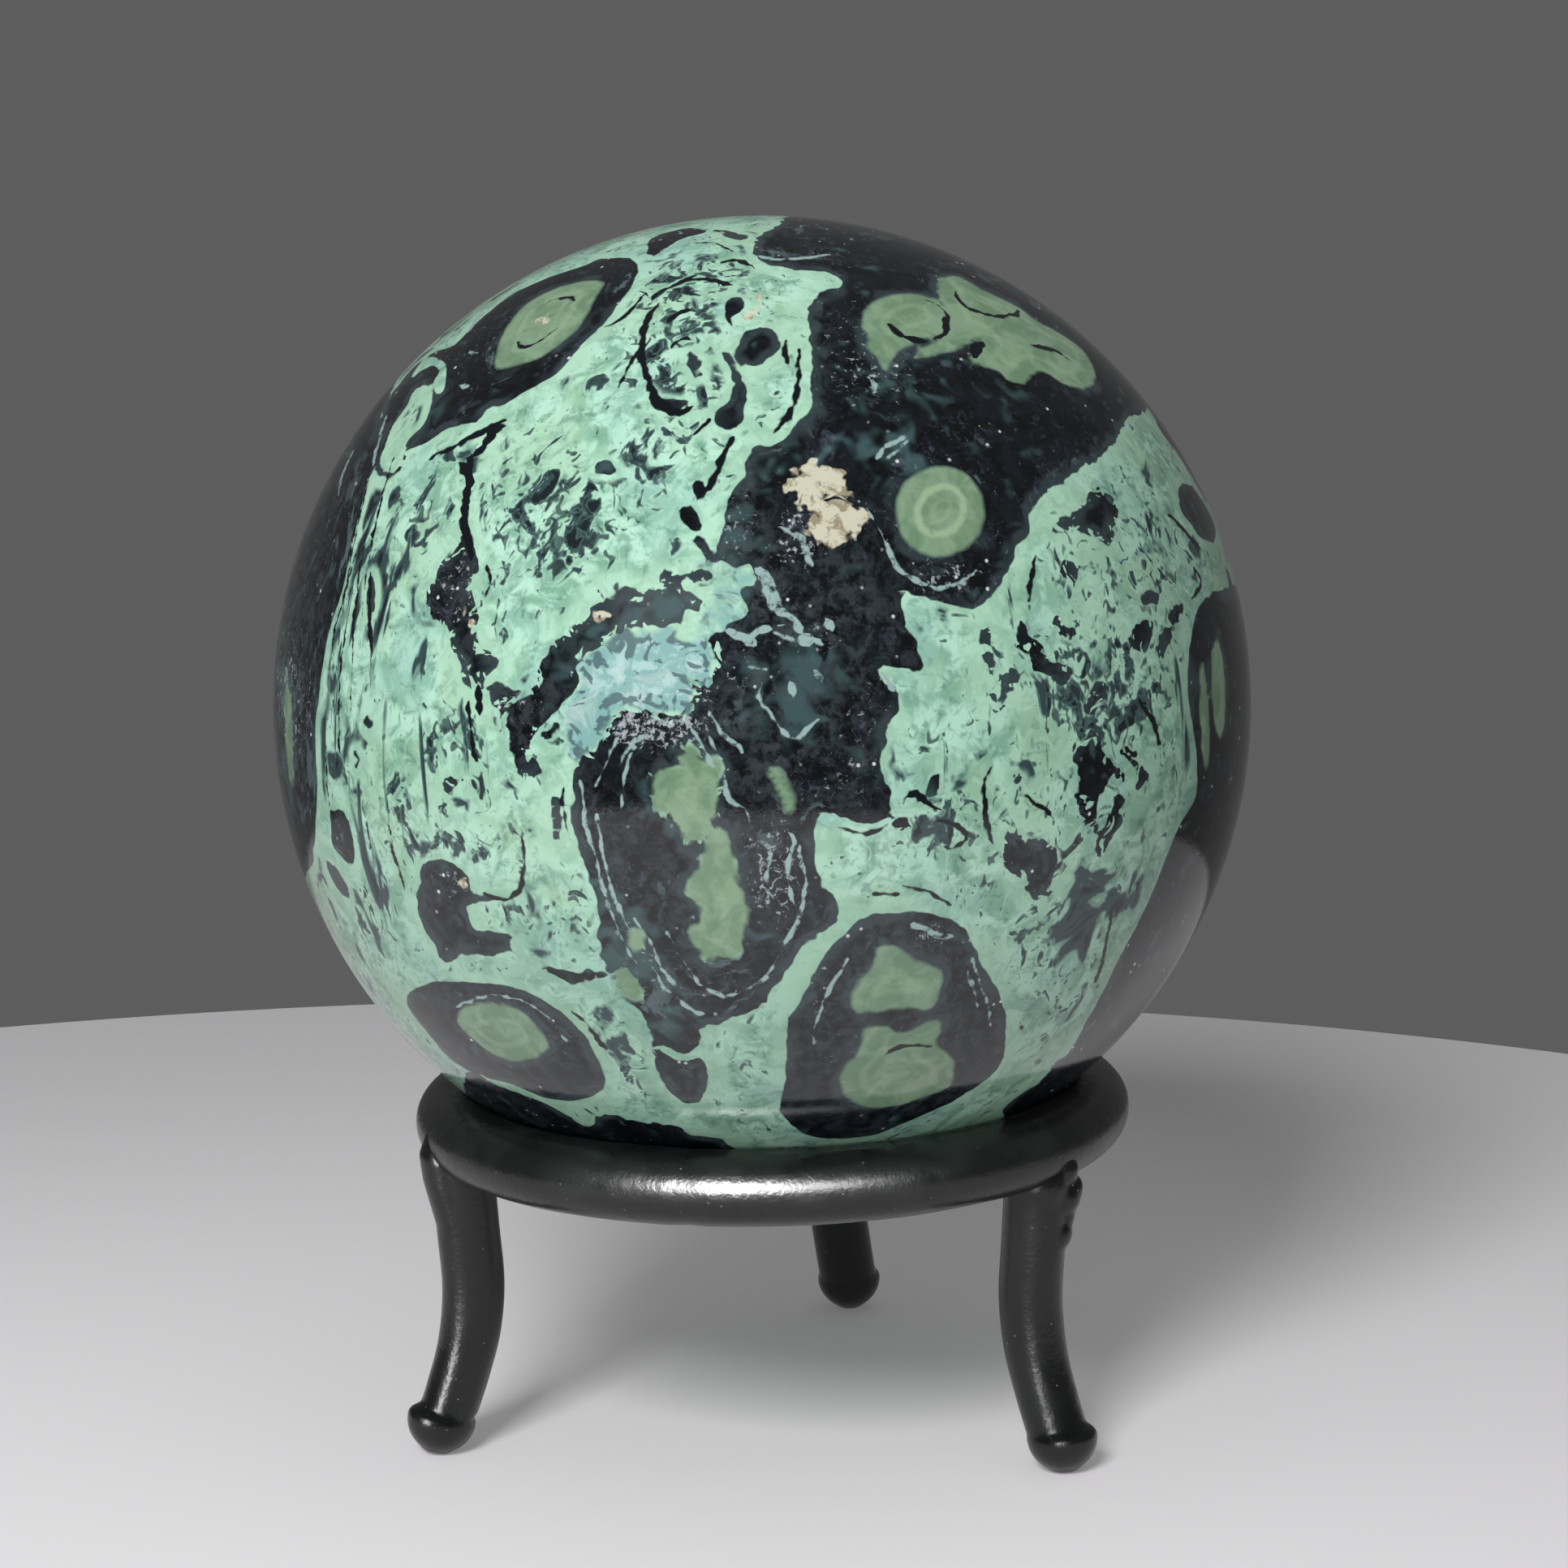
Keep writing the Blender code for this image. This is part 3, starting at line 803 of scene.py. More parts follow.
# Thin lines. Each corner of the ball keeps its distance to the nearest line of a set, with a sign for its
# side, and the line's half width there, so that lines stay sharp between the corners. Lines near each other
# go to different sets. All lengths are in mm.
PHOTO_PIXELS_PER_MM = 18.4
LINE_MARGIN = 2.5
LINE_CLEAR = 1.1
LINE_EXTRA = 0.02
TAPER_SHARE = 0.3
TIP_WIDTH_SHARE = 0.25
MIDDLE_WIDTH_SHARE = 0.8
FADE_FROM = 0.55
FADE_OVER = 0.4
FADE_DEPTH = 1.2
NO_LINE_SIDE = 2.0
NO_LINE_HALF = -1.0
DARK_SETS = 4
PALE_SETS = 3


def thin_lines(lines, sets):
    """Shares out lines of (width in photo pixels, directions) among so many sets of sides and half widths."""
    sides = [np.full(len(outward), NO_LINE_SIDE) for _ in range(sets)]
    halves = [np.full(len(outward), NO_LINE_HALF) for _ in range(sets)]
    gaps = [np.full(len(outward), FAR_OFF) for _ in range(sets)]
    for width, directions in lines:
        curve = smooth_line(directions, False)
        near, gap, _, along, side = measured(curve, False, LINE_MARGIN)
        chosen = max(range(sets), key=lambda k: np.where(gap < LINE_CLEAR, gaps[k][near], FAR_OFF).min())
        ends = np.clip(np.minimum(along, 1 - along) / TAPER_SHARE, 0, 1)
        tapered = TIP_WIDTH_SHARE + MIDDLE_WIDTH_SHARE * np.sqrt(ends)
        half = width / PHOTO_PIXELS_PER_MM / 2 * tapered + LINE_EXTRA
        half = np.where((along <= 0) | (along >= 1), half - gap * FADE_DEPTH, half)
        half = half - np.clip((gap - FADE_FROM) / FADE_OVER, 0, 1) * FADE_DEPTH
        closer = gap < gaps[chosen][near]
        at = near[closer]
        gaps[chosen][at] = gap[closer]
        sides[chosen][at] = (gap * side)[closer]
        halves[chosen][at] = half[closer]
    return sides, halves


DARK_LINES = [
    (6, [(985, 425), (984, 453), (983, 480), (978, 497), (972, 514), (958, 527), (947, 538)]),
    (6, [(970, 414), (967, 436), (972, 453)]),
    (8, [(905, 536), (894, 558), (883, 580), (875, 597), (860, 614)]),
    (5, [(797, 360), (780, 380), (762, 396), (745, 404)]),
    (6, [(801, 414), (795, 425), (781, 440), (762, 478)]),
    (5, [(865, 335), (835, 350), (812, 362), (803, 372)]),
    (5, [(883, 325), (905, 319), (922, 325), (930, 334)]),
    (4, [(853, 299), (880, 300), (905, 310)]),
    (5, [(878, 514), (853, 538)]),
    (13, [(582, 560), (578, 590), (574, 620), (573, 650), (578, 673), (583, 690)]),
    (6, [(526, 570), (533, 562), (546, 556), (562, 549), (582, 540)]),
    (13, [(560, 550), (580, 540), (600, 530), (614, 523), (625, 519)]),
    (15, [(596, 541), (606, 533), (615, 527), (624, 524)]),
    (16, [(566, 570), (574, 580), (578, 592), (577, 606)]),
    (14, [(612, 530), (602, 541), (594, 553), (585, 563)]),
    (5, [(474, 520), (461, 560), (449, 600), (438, 650), (428, 700)]),
    (4, [(486, 560), (472, 610), (462, 650), (452, 700), (446, 760)]),
    (5, [(440, 600), (424, 660), (413, 720), (404, 780)]),
    (4, [(463, 560), (447, 620), (434, 680), (424, 740), (416, 800)]),
    (4, [(455, 640), (444, 700), (437, 760), (433, 820), (432, 880)]),
    (9, [(812, 372), (797, 395), (790, 425), (794, 455), (806, 485)]),
    (12, [(797, 470), (812, 495), (835, 508), (855, 500)]),
    (7, [(830, 352), (850, 345), (880, 345), (905, 352)]),
    (6, [(820, 400), (835, 385), (855, 380)]),
    (6, [(826, 430), (840, 418), (856, 420)]),
    (5, [(600, 695), (604, 717), (597, 731), (595, 739)]),
    (3, [(615, 736), (611, 759), (609, 775), (610, 797)]),
    (5, [(495, 500), (484, 519), (476, 541), (471, 558)]),
    (5, [(443, 668), (432, 703), (421, 745), (413, 772), (409, 800), (404, 830)]),
    (4, [(428, 772), (422, 805), (418, 847), (418, 916), (421, 932)]),
    (3, [(399, 869), (402, 938), (406, 996)]),
    (8, [(457, 700), (455, 745), (457, 790), (457, 822)]),
    (8, [(590, 844), (592, 880)]),
    (6, [(578, 860), (580, 900), (586, 930), (591, 940)]),
    (5, [(451, 1009), (457, 1048)]),
    (5, [(479, 1014), (484, 1045), (490, 1066), (500, 1100)]),
    (3.5, [(628, 1019), (639, 1030), (645, 1044), (646, 1088), (636, 1102), (617, 1109), (595, 1102)]),
    (3, [(694, 965), (695, 998), (702, 1037)]),
    (5, [(705, 1245), (716, 1256), (736, 1278), (749, 1295)]),
    (5, [(1275, 675), (1273, 706), (1268, 733), (1268, 744)]),
    (8, [(1438, 634), (1452, 645), (1466, 662), (1479, 676)]),
    (5, [(1469, 698), (1480, 714), (1477, 728), (1466, 739)]),
    (6, [(1223, 943), (1212, 965), (1215, 998), (1218, 1026), (1223, 1045)]),
    (7, [(1403, 861), (1411, 874), (1422, 888), (1427, 907), (1431, 918)]),
    (8, [(1372, 1110), (1364, 1154), (1356, 1193), (1345, 1218)]),
    (5, [(1405, 1085), (1397, 1102)]),
    (5, [(1033, 1018), (1050, 1025), (1066, 1027), (1083, 1023), (1094, 1015)]),
    (5, [(1072, 1100), (1111, 1103)]),
    (5, [(1110, 1091), (1135, 1096), (1157, 1106), (1175, 1114)]),
    (6, [(1254, 1257), (1259, 1272)]),
    (5, [(1113, 996), (1119, 979), (1130, 974), (1141, 986), (1152, 996), (1165, 998)]),
    (4, [(1142, 1030), (1150, 1014), (1168, 1012), (1186, 1018), (1192, 1032), (1180, 1044), (1158, 1044)]),
    (5, [(1251, 987), (1262, 980), (1273, 990), (1289, 996), (1298, 1015)]),
    (5, [(672, 376), (683, 369), (702, 366), (709, 372)]),
    (4, [(639, 420), (644, 427), (661, 423), (677, 412), (688, 403)]),
    (9, [(1138, 369), (1156, 378), (1167, 392), (1165, 408), (1152, 420)]),
    (12, [(1094, 398), (1104, 410), (1124, 419), (1145, 419)]),
    (8, [(1176, 354), (1182, 370), (1200, 383), (1225, 390), (1246, 389), (1254, 381)]),
    (14, [(1197, 440), (1203, 428), (1211, 420)]),
    (9, [(1268, 426), (1285, 428), (1304, 434), (1320, 446)]),
    (6, [(1086, 1303), (1110, 1288), (1149, 1290)]),
]
dark_lines = [(width, seen_at(places)) for width, places in DARK_LINES]
dark_sides, dark_halves = thin_lines(dark_lines + back_dark_lines, DARK_SETS)

PALE_LINES = [
    (4.5, [(1068, 624), (1082, 654), (1096, 679), (1110, 703), (1127, 714), (1151, 724), (1171, 720),
         (1190, 714), (1204, 703)]),
    (4.5, [(821, 1146), (832, 1171), (846, 1193), (863, 1215), (882, 1223), (904, 1226), (926, 1218),
         (945, 1204), (956, 1187), (962, 1171)]),
    (3, [(805, 1190), (819, 1215), (838, 1234), (854, 1245), (876, 1251)]),
    (6, [(958, 651), (975, 657), (991, 665), (994, 679), (1001, 699)]),
    (14, [(930, 700), (941, 710), (949, 730), (959, 748), (973, 762)]),
    (9, [(966, 756), (980, 768), (990, 780)]),
    (14, [(982, 787), (993, 788), (1004, 789)]),
    (6, [(1003, 785), (1010, 793), (1017, 799)]),
    (11, [(893, 777), (910, 783), (922, 789), (932, 797)]),
    (10, [(924, 784), (938, 777), (952, 776)]),
    (4, [(950, 779), (965, 785), (982, 786)]),
    (9, [(1018, 762), (1022, 770), (1025, 779)]),
    (9, [(973, 840), (976, 848), (978, 857)]),
    (7, [(1064, 463), (1072, 466), (1080, 478), (1076, 487)]),
    (3, [(785, 921), (776, 930), (771, 951), (768, 971), (767, 996)]),
    (3.5, [(873, 874), (889, 902), (909, 918), (917, 930)]),
    (3.5, [(870, 902), (884, 930), (892, 957), (900, 985), (917, 996), (923, 1018)]),
    (2.5, [(939, 841), (934, 861), (945, 874), (958, 894), (978, 910), (989, 902), (1008, 885)]),
    (8, [(1003, 825), (1014, 841)]),
    (3, [(920, 819), (947, 825)]),
    (4, [(937, 1033), (948, 1050), (943, 1091), (954, 1110)]),
    (4, [(970, 1025), (978, 1039), (968, 1083), (976, 1102), (978, 1119)]),
    (4, [(777, 1270), (794, 1281), (813, 1306)]),
    (4, [(716, 960), (722, 1010), (733, 1060), (748, 1110), (762, 1150), (785, 1190)]),
    (3, [(736, 1000), (742, 1050), (756, 1100), (776, 1150)]),
    (3, [(780, 1130), (800, 1160), (815, 1190), (835, 1215)]),
    (4, [(985, 1040), (990, 1075), (990, 1110), (982, 1140), (968, 1165)]),
    (3, [(764, 908), (752, 925), (742, 945), (735, 970)]),
    (3, [(800, 900), (786, 912), (772, 925), (760, 945)]),
    (3, [(850, 895), (862, 915), (876, 940), (888, 960)]),
    (4, [(1000, 1290), (1010, 1250), (1024, 1215), (1045, 1180)]),
    (3, [(1222, 1270), (1218, 1240), (1208, 1210), (1195, 1180)]),
    (3, [(560, 1240), (600, 1228), (640, 1232), (675, 1255), (700, 1285)]),
    (10, [(438, 552), (430, 566), (422, 585), (417, 610)]),
    (9, [(612, 372), (597, 384), (586, 396), (575, 412)]),
    (8, [(641, 341), (629, 351), (617, 361)]),
    (5, [(478, 508), (470, 530), (464, 555), (460, 575)]),
    (6, [(577, 432), (584, 436), (592, 434)]),
    (5, [(565, 474), (571, 473), (577, 478)]),
    (4, [(1192, 1193), (1198, 1215), (1204, 1243)]),
    (7, [(933, 315), (960, 320), (990, 318), (1024, 314)]),
    (4, [(1078, 570), (1085, 556), (1097, 548), (1110, 540), (1120, 533)]),
    (3, [(1083, 568), (1096, 562), (1108, 553), (1120, 537)]),
    (5, [(1083, 825), (1094, 841), (1105, 850)]),
    (8, [(1121, 1136), (1154, 1152), (1176, 1154)]),
]
pale_lines = [(width, seen_at(places)) for width, places in PALE_LINES]
pale_sides, pale_halves = thin_lines(pale_lines + back_pale_lines, PALE_SETS)


def keep(name, values):
    """Stores one number for each corner of the ball, for its material to read."""
    layer = ball.data.attributes.new(name, "FLOAT", "POINT")
    layer.data.foreach_set("value", values.astype(np.float32))


KEPT = {
    "dark_depth": dark_depth,
    "edge_ragged": edge_ragged,
    "olive_depth": olive_depth,
    "aqua_depth": aqua_depth,
    "aqua_core": aqua_core,
    "cream_depth": cream_depth,
    "fleck_share": fleck_share,
    "teal_share": teal_share,
    "thread_share": thread_share,
    "frost_share": frost_share,
    "grit_share": grit_share,
    "upright_share": upright_share,
    "ring_share": ring_share,
}
for name, values in KEPT.items():
    keep(name, values)
for k in range(DARK_SETS):
    keep(f"dark_side_{k}", dark_sides[k])
    keep(f"dark_half_{k}", dark_halves[k])
for k in range(PALE_SETS):
    keep(f"pale_side_{k}", pale_sides[k])
    keep(f"pale_half_{k}", pale_halves[k])


def colour(red, green, blue):
    """A colour as it looks on a screen, from 0 to 255, as the linear colour that a shader takes."""
    linear = []
    for level in (red, green, blue):
        share = level / 255
        linear.append(share / 12.92 if share <= 0.04045 else ((share + 0.055) / 1.055) ** 2.4)
    return (*linear, 1.0)


# A mix node has one pair of sockets for each kind of value, and these are the colours' ones
MIX_FIRST_COLOUR = 6
MIX_SECOND_COLOUR = 7
MIX_RESULT_COLOUR = 2


class Finish:
    """A material that is mixed step by step: each method adds one node and gives back its result."""

    def __init__(self, name):
        self.material = bpy.data.materials.new(name)
        self.material.use_nodes = True
        self.nodes = self.material.node_tree.nodes
        self.links = self.material.node_tree.links
        self.shader = self.nodes["Principled BSDF"]
        coordinates = self.nodes.new("ShaderNodeTexCoord")
        self.place = self.vector("SCALE", coordinates.outputs["Object"], scale=MM)

    def set(self, socket, value):
        """Links a result to a socket, or writes a plain value there."""
        if isinstance(value, bpy.types.NodeSocket):
            self.links.new(value, socket)
        else:
            socket.default_value = value

    def vector(self, operation, first, second=None, scale=None):
        node = self.nodes.new("ShaderNodeVectorMath")
        node.operation = operation
        self.set(node.inputs[0], first)
        if second is not None:
            self.set(node.inputs[1], second)
        if scale is not None:
            self.set(node.inputs["Scale"], scale)
        return node.outputs[0]

    def math(self, operation, first, second=0.0):
        node = self.nodes.new("ShaderNodeMath")
        node.operation = operation
        self.set(node.inputs[0], first)
        self.set(node.inputs[1], second)
        return node.outputs[0]

    def times(self, first, second):
        return self.math("MULTIPLY", first, second)

    def plus(self, first, second):
        return self.math("ADD", first, second)

    def minus(self, first, second):
        return self.math("SUBTRACT", first, second)

    def along(self, direction):
        """How far a place is from the origin in one direction, in mm."""
        node = self.nodes.new("ShaderNodeVectorMath")
        node.operation = "DOT_PRODUCT"
        self.set(node.inputs[0], self.place)
        self.set(node.inputs[1], direction)
        return node.outputs["Value"]

    def kept(self, name):
        """What the ball keeps under this name at each of its corners."""
        node = self.nodes.new("ShaderNodeAttribute")
        node.attribute_name = name
        return node.outputs["Fac"]

    def rise(self, value, low, high):
        """0 below low, 1 above high and soft between; turned round where low is the greater."""
        node = self.nodes.new("ShaderNodeMapRange")
        node.interpolation_type = "SMOOTHSTEP"
        if low > high:
            low, high = high, low
            node.inputs["To Min"].default_value = 1.0
            node.inputs["To Max"].default_value = 0.0
        self.set(node.inputs["Value"], value)
        node.inputs["From Min"].default_value = low
        node.inputs["From Max"].default_value = high
        return node.outputs[0]

    def clouds(self, scale, detail=2.0, roughness=0.5, twist=0.0, place=None, along=None):
        """Cloudy grain about one part per mm at scale 1, from 0 to 1 and mostly near a half."""
        node = self.nodes.new("ShaderNodeTexNoise")
        if along is not None:
            node.noise_dimensions = "4D"
            self.set(node.inputs["W"], along)
        self.set(node.inputs["Vector"], place or self.place)
        node.inputs["Scale"].default_value = scale
        node.inputs["Detail"].default_value = detail
        node.inputs["Roughness"].default_value = roughness
        node.inputs["Distortion"].default_value = twist
        return node.outputs["Fac"]

    def grains(self, scale):
        """Round grains: their Distance is from each middle, and their Color differs from grain to grain."""
        node = self.nodes.new("ShaderNodeTexVoronoi")
        self.set(node.inputs["Vector"], self.place)
        node.inputs["Scale"].default_value = scale
        return node

    def mix(self, share, first, second):
        """The first colour where the share is 0 and the second where it is 1."""
        node = self.nodes.new("ShaderNodeMix")
        node.data_type = "RGBA"
        self.set(node.inputs["Factor"], share)
        self.set(node.inputs[MIX_FIRST_COLOUR], first)
        self.set(node.inputs[MIX_SECOND_COLOUR], second)
        return node.outputs[MIX_RESULT_COLOUR]

    def bump(self, height, distance, below=None):
        """A surface tilted by a height, whose whole range is this distance in metres."""
        node = self.nodes.new("ShaderNodeBump")
        node.inputs["Strength"].default_value = 1.0
        node.inputs["Distance"].default_value = distance
        self.set(node.inputs["Height"], height)
        if below is not None:
            self.links.new(below, node.inputs["Normal"])
        return node.outputs["Normal"]


jasper = Finish("polished_jasper")
depth = jasper.kept("dark_depth")
ragged = jasper.kept("edge_ragged")
olive_raw = jasper.kept("olive_depth")
coarse_grain = jasper.clouds(0.62, 1, 0.5, 0.5)
fine_grain = jasper.clouds(1.5, 1, 0.5)
coarse_off = jasper.times(jasper.minus(coarse_grain, 0.5), 6.0)
fine_off = jasper.times(jasper.minus(fine_grain, 0.5), 5.0)
wander = jasper.times(jasper.plus(coarse_off, jasper.times(fine_off, 0.35)), ragged)
squiggles = jasper.clouds(0.55, 2, 0.5, 2.2)
wisps = jasper.times(jasper.rise(squiggles, 0.54, 0.62), jasper.rise(ragged, 0.17, 0.23))
edge = jasper.minus(jasper.plus(depth, wander), jasper.times(wisps, 0.5))
edge_soft = jasper.minus(1.0, jasper.times(jasper.rise(olive_raw, -0.7, -0.3), 0.7))
in_dark = jasper.rise(jasper.times(edge, edge_soft), -0.05, 0.06)

# The green rock: cloudy light and middling green, with soft streaks that follow the dark masses
LIGHT_GREEN = colour(177, 220, 198)
MID_GREEN = colour(126, 172, 148)
DEEP_GREEN = colour(86, 128, 114)
YELLOW_GREEN = colour(162, 200, 168)
BLUE_GREEN = colour(152, 196, 184)
cloud = jasper.clouds(0.45, 5, 0.62, 0.8)
patch = jasper.clouds(0.16, 2)
streak = jasper.clouds(0.22, 4, 0.6, 0.3, along=jasper.times(depth, 1.5))
green = jasper.mix(jasper.rise(cloud, 0.4, 0.58), MID_GREEN, LIGHT_GREEN)
green = jasper.mix(jasper.times(jasper.rise(streak, 0.52, 0.66), 0.5), green, MID_GREEN)
green = jasper.mix(jasper.times(jasper.rise(patch, 0.5, 0.62), 0.55), green, YELLOW_GREEN)
green = jasper.mix(jasper.times(jasper.rise(patch, 0.46, 0.36), 0.5), green, BLUE_GREEN)
tooth = jasper.clouds(1.1, 4, 0.65, 0.6)
green = jasper.mix(jasper.times(jasper.rise(tooth, 0.5, 0.66), 0.6), green, DEEP_GREEN)

# A paler border along the dark masses
PALE_BORDER = colour(166, 208, 182)
border_room = jasper.plus(depth, jasper.times(coarse_off, 0.3))
border = jasper.times(jasper.rise(border_room, -1.7, -0.7), jasper.rise(patch, 0.36, 0.5))
green = jasper.mix(jasper.times(border, 0.6), green, PALE_BORDER)

# Painted shade: the green is darker and duller towards the stone's foot and its right side, where less light
# falls
PAINTED_SHADE_GREEN = colour(40, 56, 48)
painted_shade_low = jasper.times(jasper.rise(jasper.along((0, 0, 1)), 50, 30), 0.2)
painted_shade_right = jasper.times(jasper.rise(jasper.along((1, 0, 0)), 17, 27), 0.3)
green = jasper.mix(jasper.plus(painted_shade_low, painted_shade_right), green, PAINTED_SHADE_GREEN)

# Flecks in the green, with a paler rim, and dark threads that follow the dark masses
FLECK_SOFT = colour(94, 126, 118)
FLECK_TEAL = colour(46, 64, 68)
NIGHT = colour(10, 15, 21)
FLECK_RIM = colour(172, 214, 190)
fleck_bias = jasper.kept("fleck_share")
upright = jasper.vector("MULTIPLY", jasper.place, (1.0, 1.0, 0.75))
crumbs = jasper.clouds(0.52, 3, 0.52, 1.3, place=upright)
crumb_level = jasper.minus(0.69, jasper.times(fleck_bias, 0.18))
crumb_edge = jasper.minus(crumbs, crumb_level)
calm_room = jasper.minus(jasper.times(ragged, 5.0), depth)
calm = jasper.rise(calm_room, 0.9, 1.5)
rim_share = jasper.times(jasper.rise(crumb_edge, -0.09, -0.03), jasper.times(calm, 0.5))
green = jasper.mix(rim_share, green, FLECK_RIM)


def darkened(finish, base, level, share):
    """The green sinking through soft teal to black as a fleck's or thread's level rises."""
    for start, end, strength, tint in (
        (-0.025, 0.012, 0.85, FLECK_SOFT),
        (0.008, 0.03, 0.95, FLECK_TEAL),
        (0.06, 0.12, 0.8, NIGHT),
    ):
        part = finish.times(finish.rise(level, start, end), strength)
        base = finish.mix(finish.times(part, share), base, tint)
    return base


green = darkened(jasper, green, crumb_edge, calm)
fine_crumbs = jasper.clouds(1.25, 1, 0.5, 0.9, place=upright)
fine_level = jasper.minus(0.73, jasper.times(fleck_bias, 0.19))
fine_edge = jasper.minus(fine_crumbs, fine_level)
green = darkened(jasper, green, fine_edge, jasper.times(calm, 0.75))
thread_bias = jasper.kept("thread_share")
flow = jasper.clouds(0.22, 3, 0.58, 0.4, along=jasper.times(depth, 1.7))
thread_level = jasper.minus(0.66, jasper.times(thread_bias, 0.12))
thread_edge = jasper.minus(flow, thread_level)
green = darkened(jasper, green, thread_edge, calm)
stretched = jasper.vector("MULTIPLY", jasper.place, (1.0, 1.0, 0.1))
upright_flow = jasper.clouds(0.6, 3, 0.55, 0.6, place=stretched)
upright_level = jasper.minus(0.72, jasper.times(jasper.kept("upright_share"), 0.2))
green = darkened(jasper, green, jasper.minus(upright_flow, upright_level), calm)

# The pale blue-green patch and its whiter middle
AQUA_TINT = colour(128, 172, 168)
AQUA_PALE = colour(166, 200, 196)
AQUA_WHITE = colour(196, 210, 206)
AQUA_CRACK = colour(70, 96, 102)
aqua_raw = jasper.kept("aqua_depth")
aqua_edge = jasper.plus(aqua_raw, jasper.times(fine_off, 0.12))
aqua_core_edge = jasper.plus(jasper.kept("aqua_core"), jasper.times(fine_off, 0.6))
aqua_mottle = jasper.times(jasper.rise(aqua_core_edge, -0.5, 0.8), jasper.rise(tooth, 0.58, 0.42))
aqua = jasper.mix(aqua_mottle, AQUA_TINT, AQUA_PALE)
aqua = jasper.mix(jasper.times(jasper.rise(cloud, 0.52, 0.66), 0.6), aqua, AQUA_WHITE)
notches = jasper.minus(squiggles, jasper.times(jasper.rise(aqua_raw, 0.2, 1.3), 0.12))
aqua = jasper.mix(jasper.times(jasper.rise(notches, 0.5, 0.56), 0.85), aqua, AQUA_CRACK)
green = jasper.mix(jasper.rise(aqua_edge, -0.25, 0.15), green, aqua)

# The olive middles of the orbs, ringed by depth
OLIVE = colour(128, 156, 128)
OLIVE_PALE = colour(156, 182, 148)
OLIVE_DEEP = colour(104, 134, 106)
olive_ring = jasper.plus(olive_raw, jasper.times(fine_off, 0.05))
olive_rings = jasper.kept("ring_share")
olive = jasper.mix(jasper.rise(cloud, 0.38, 0.62), OLIVE_DEEP, OLIVE)
outer_band = jasper.times(jasper.rise(olive_ring, 0.95, 1.25), jasper.rise(olive_ring, 1.7, 1.4))
inner_band = jasper.times(jasper.rise(olive_ring, 1.95, 2.1), jasper.rise(olive_ring, 2.35, 2.2))
pale_band = jasper.plus(outer_band, jasper.times(inner_band, 0.3))
olive = jasper.mix(jasper.times(pale_band, jasper.times(olive_rings, 0.75)), olive, OLIVE_PALE)
olive = jasper.mix(jasper.times(jasper.rise(tooth, 0.56, 0.7), 0.5), olive, OLIVE_DEEP)
green = jasper.mix(jasper.rise(olive_raw, -0.5, 0.1), green, olive)

# The dark rock: near black, with navy and teal clouds, pale threads along its edges and fine pale specks
BLACK = colour(4, 6, 9)
NAVY = colour(14, 20, 27)
TEAL = colour(62, 88, 90)
LAVENDER = colour(112, 118, 138)
THREAD_PALE = colour(92, 112, 116)
FROST = colour(174, 182, 188)
WHITE = colour(222, 228, 224)
dark = jasper.mix(jasper.rise(cloud, 0.42, 0.62), BLACK, NAVY)
teal_noise = jasper.plus(jasper.kept("teal_share"), jasper.times(coarse_off, 0.5))
dark = jasper.mix(jasper.times(jasper.rise(teal_noise, 0.3, 1.1), 0.85), dark, TEAL)
dark_flow = jasper.clouds(0.35, 5, 0.65, 0.5, along=jasper.times(depth, 2.4))
dark_level = jasper.minus(0.66, jasper.times(thread_bias, 0.12))
dark_threads = jasper.rise(jasper.minus(dark_flow, dark_level), -0.02, 0.05)
near_rim = jasper.rise(depth, 3.2, 0.6)
thread_visible = jasper.times(dark_threads, jasper.plus(0.25, jasper.times(near_rim, 0.45)))
dark = jasper.mix(thread_visible, dark, THREAD_PALE)
SLATE = colour(52, 66, 70)
GRIT = colour(64, 73, 78)
rim_room = jasper.plus(depth, jasper.times(coarse_off, 0.35))
rim_veil = jasper.times(jasper.rise(rim_room, 0.9, 0.3), jasper.rise(patch, 0.42, 0.56))
dark = jasper.mix(jasper.times(rim_veil, 0.75), dark, SLATE)
grit = jasper.clouds(1.1, 5, 0.75, 0.3)
grit_room = jasper.plus(0.06, jasper.times(jasper.kept("grit_share"), 0.8))
dark = jasper.mix(jasper.times(jasper.rise(grit, 0.42, 0.64), grit_room), dark, GRIT)
haze = jasper.clouds(1.5, 4, 0.65, 0.8)
haze_patch = jasper.clouds(0.3, 3, 0.6)
haze_share = jasper.times(jasper.rise(haze, 0.52, 0.7), jasper.rise(haze_patch, 0.45, 0.62))
dark = jasper.mix(jasper.times(haze_share, 0.24), dark, LAVENDER)
frost_grain = jasper.clouds(2.6, 4, 0.7, 0.5)
frost_level = jasper.plus(frost_grain, jasper.times(jasper.kept("frost_share"), 0.22))
dark = jasper.mix(jasper.times(jasper.rise(frost_level, 0.7, 0.82), 0.85), dark, FROST)
specks = jasper.grains(1.6)
speck_size = jasper.rise(specks.outputs["Distance"], 0.25, 0.13)
speck_pick = jasper.rise(specks.outputs["Color"], 0.74, 0.8)
speck_patch = jasper.rise(haze_patch, 0.46, 0.58)
speck_share = jasper.times(speck_size, jasper.times(speck_pick, speck_patch))
dark = jasper.mix(jasper.times(speck_share, 0.85), dark, WHITE)
fine_specks = jasper.grains(3.6)
fine_speck_size = jasper.rise(fine_specks.outputs["Distance"], 0.24, 0.1)
fine_speck_pick = jasper.rise(fine_specks.outputs["Color"], 0.8, 0.9)
fine_speck_patch = jasper.rise(haze_patch, 0.4, 0.62)
fine_speck_share = jasper.times(fine_speck_size, jasper.times(fine_speck_pick, fine_speck_patch))
dark = jasper.mix(jasper.times(fine_speck_share, 0.4), dark, LAVENDER)

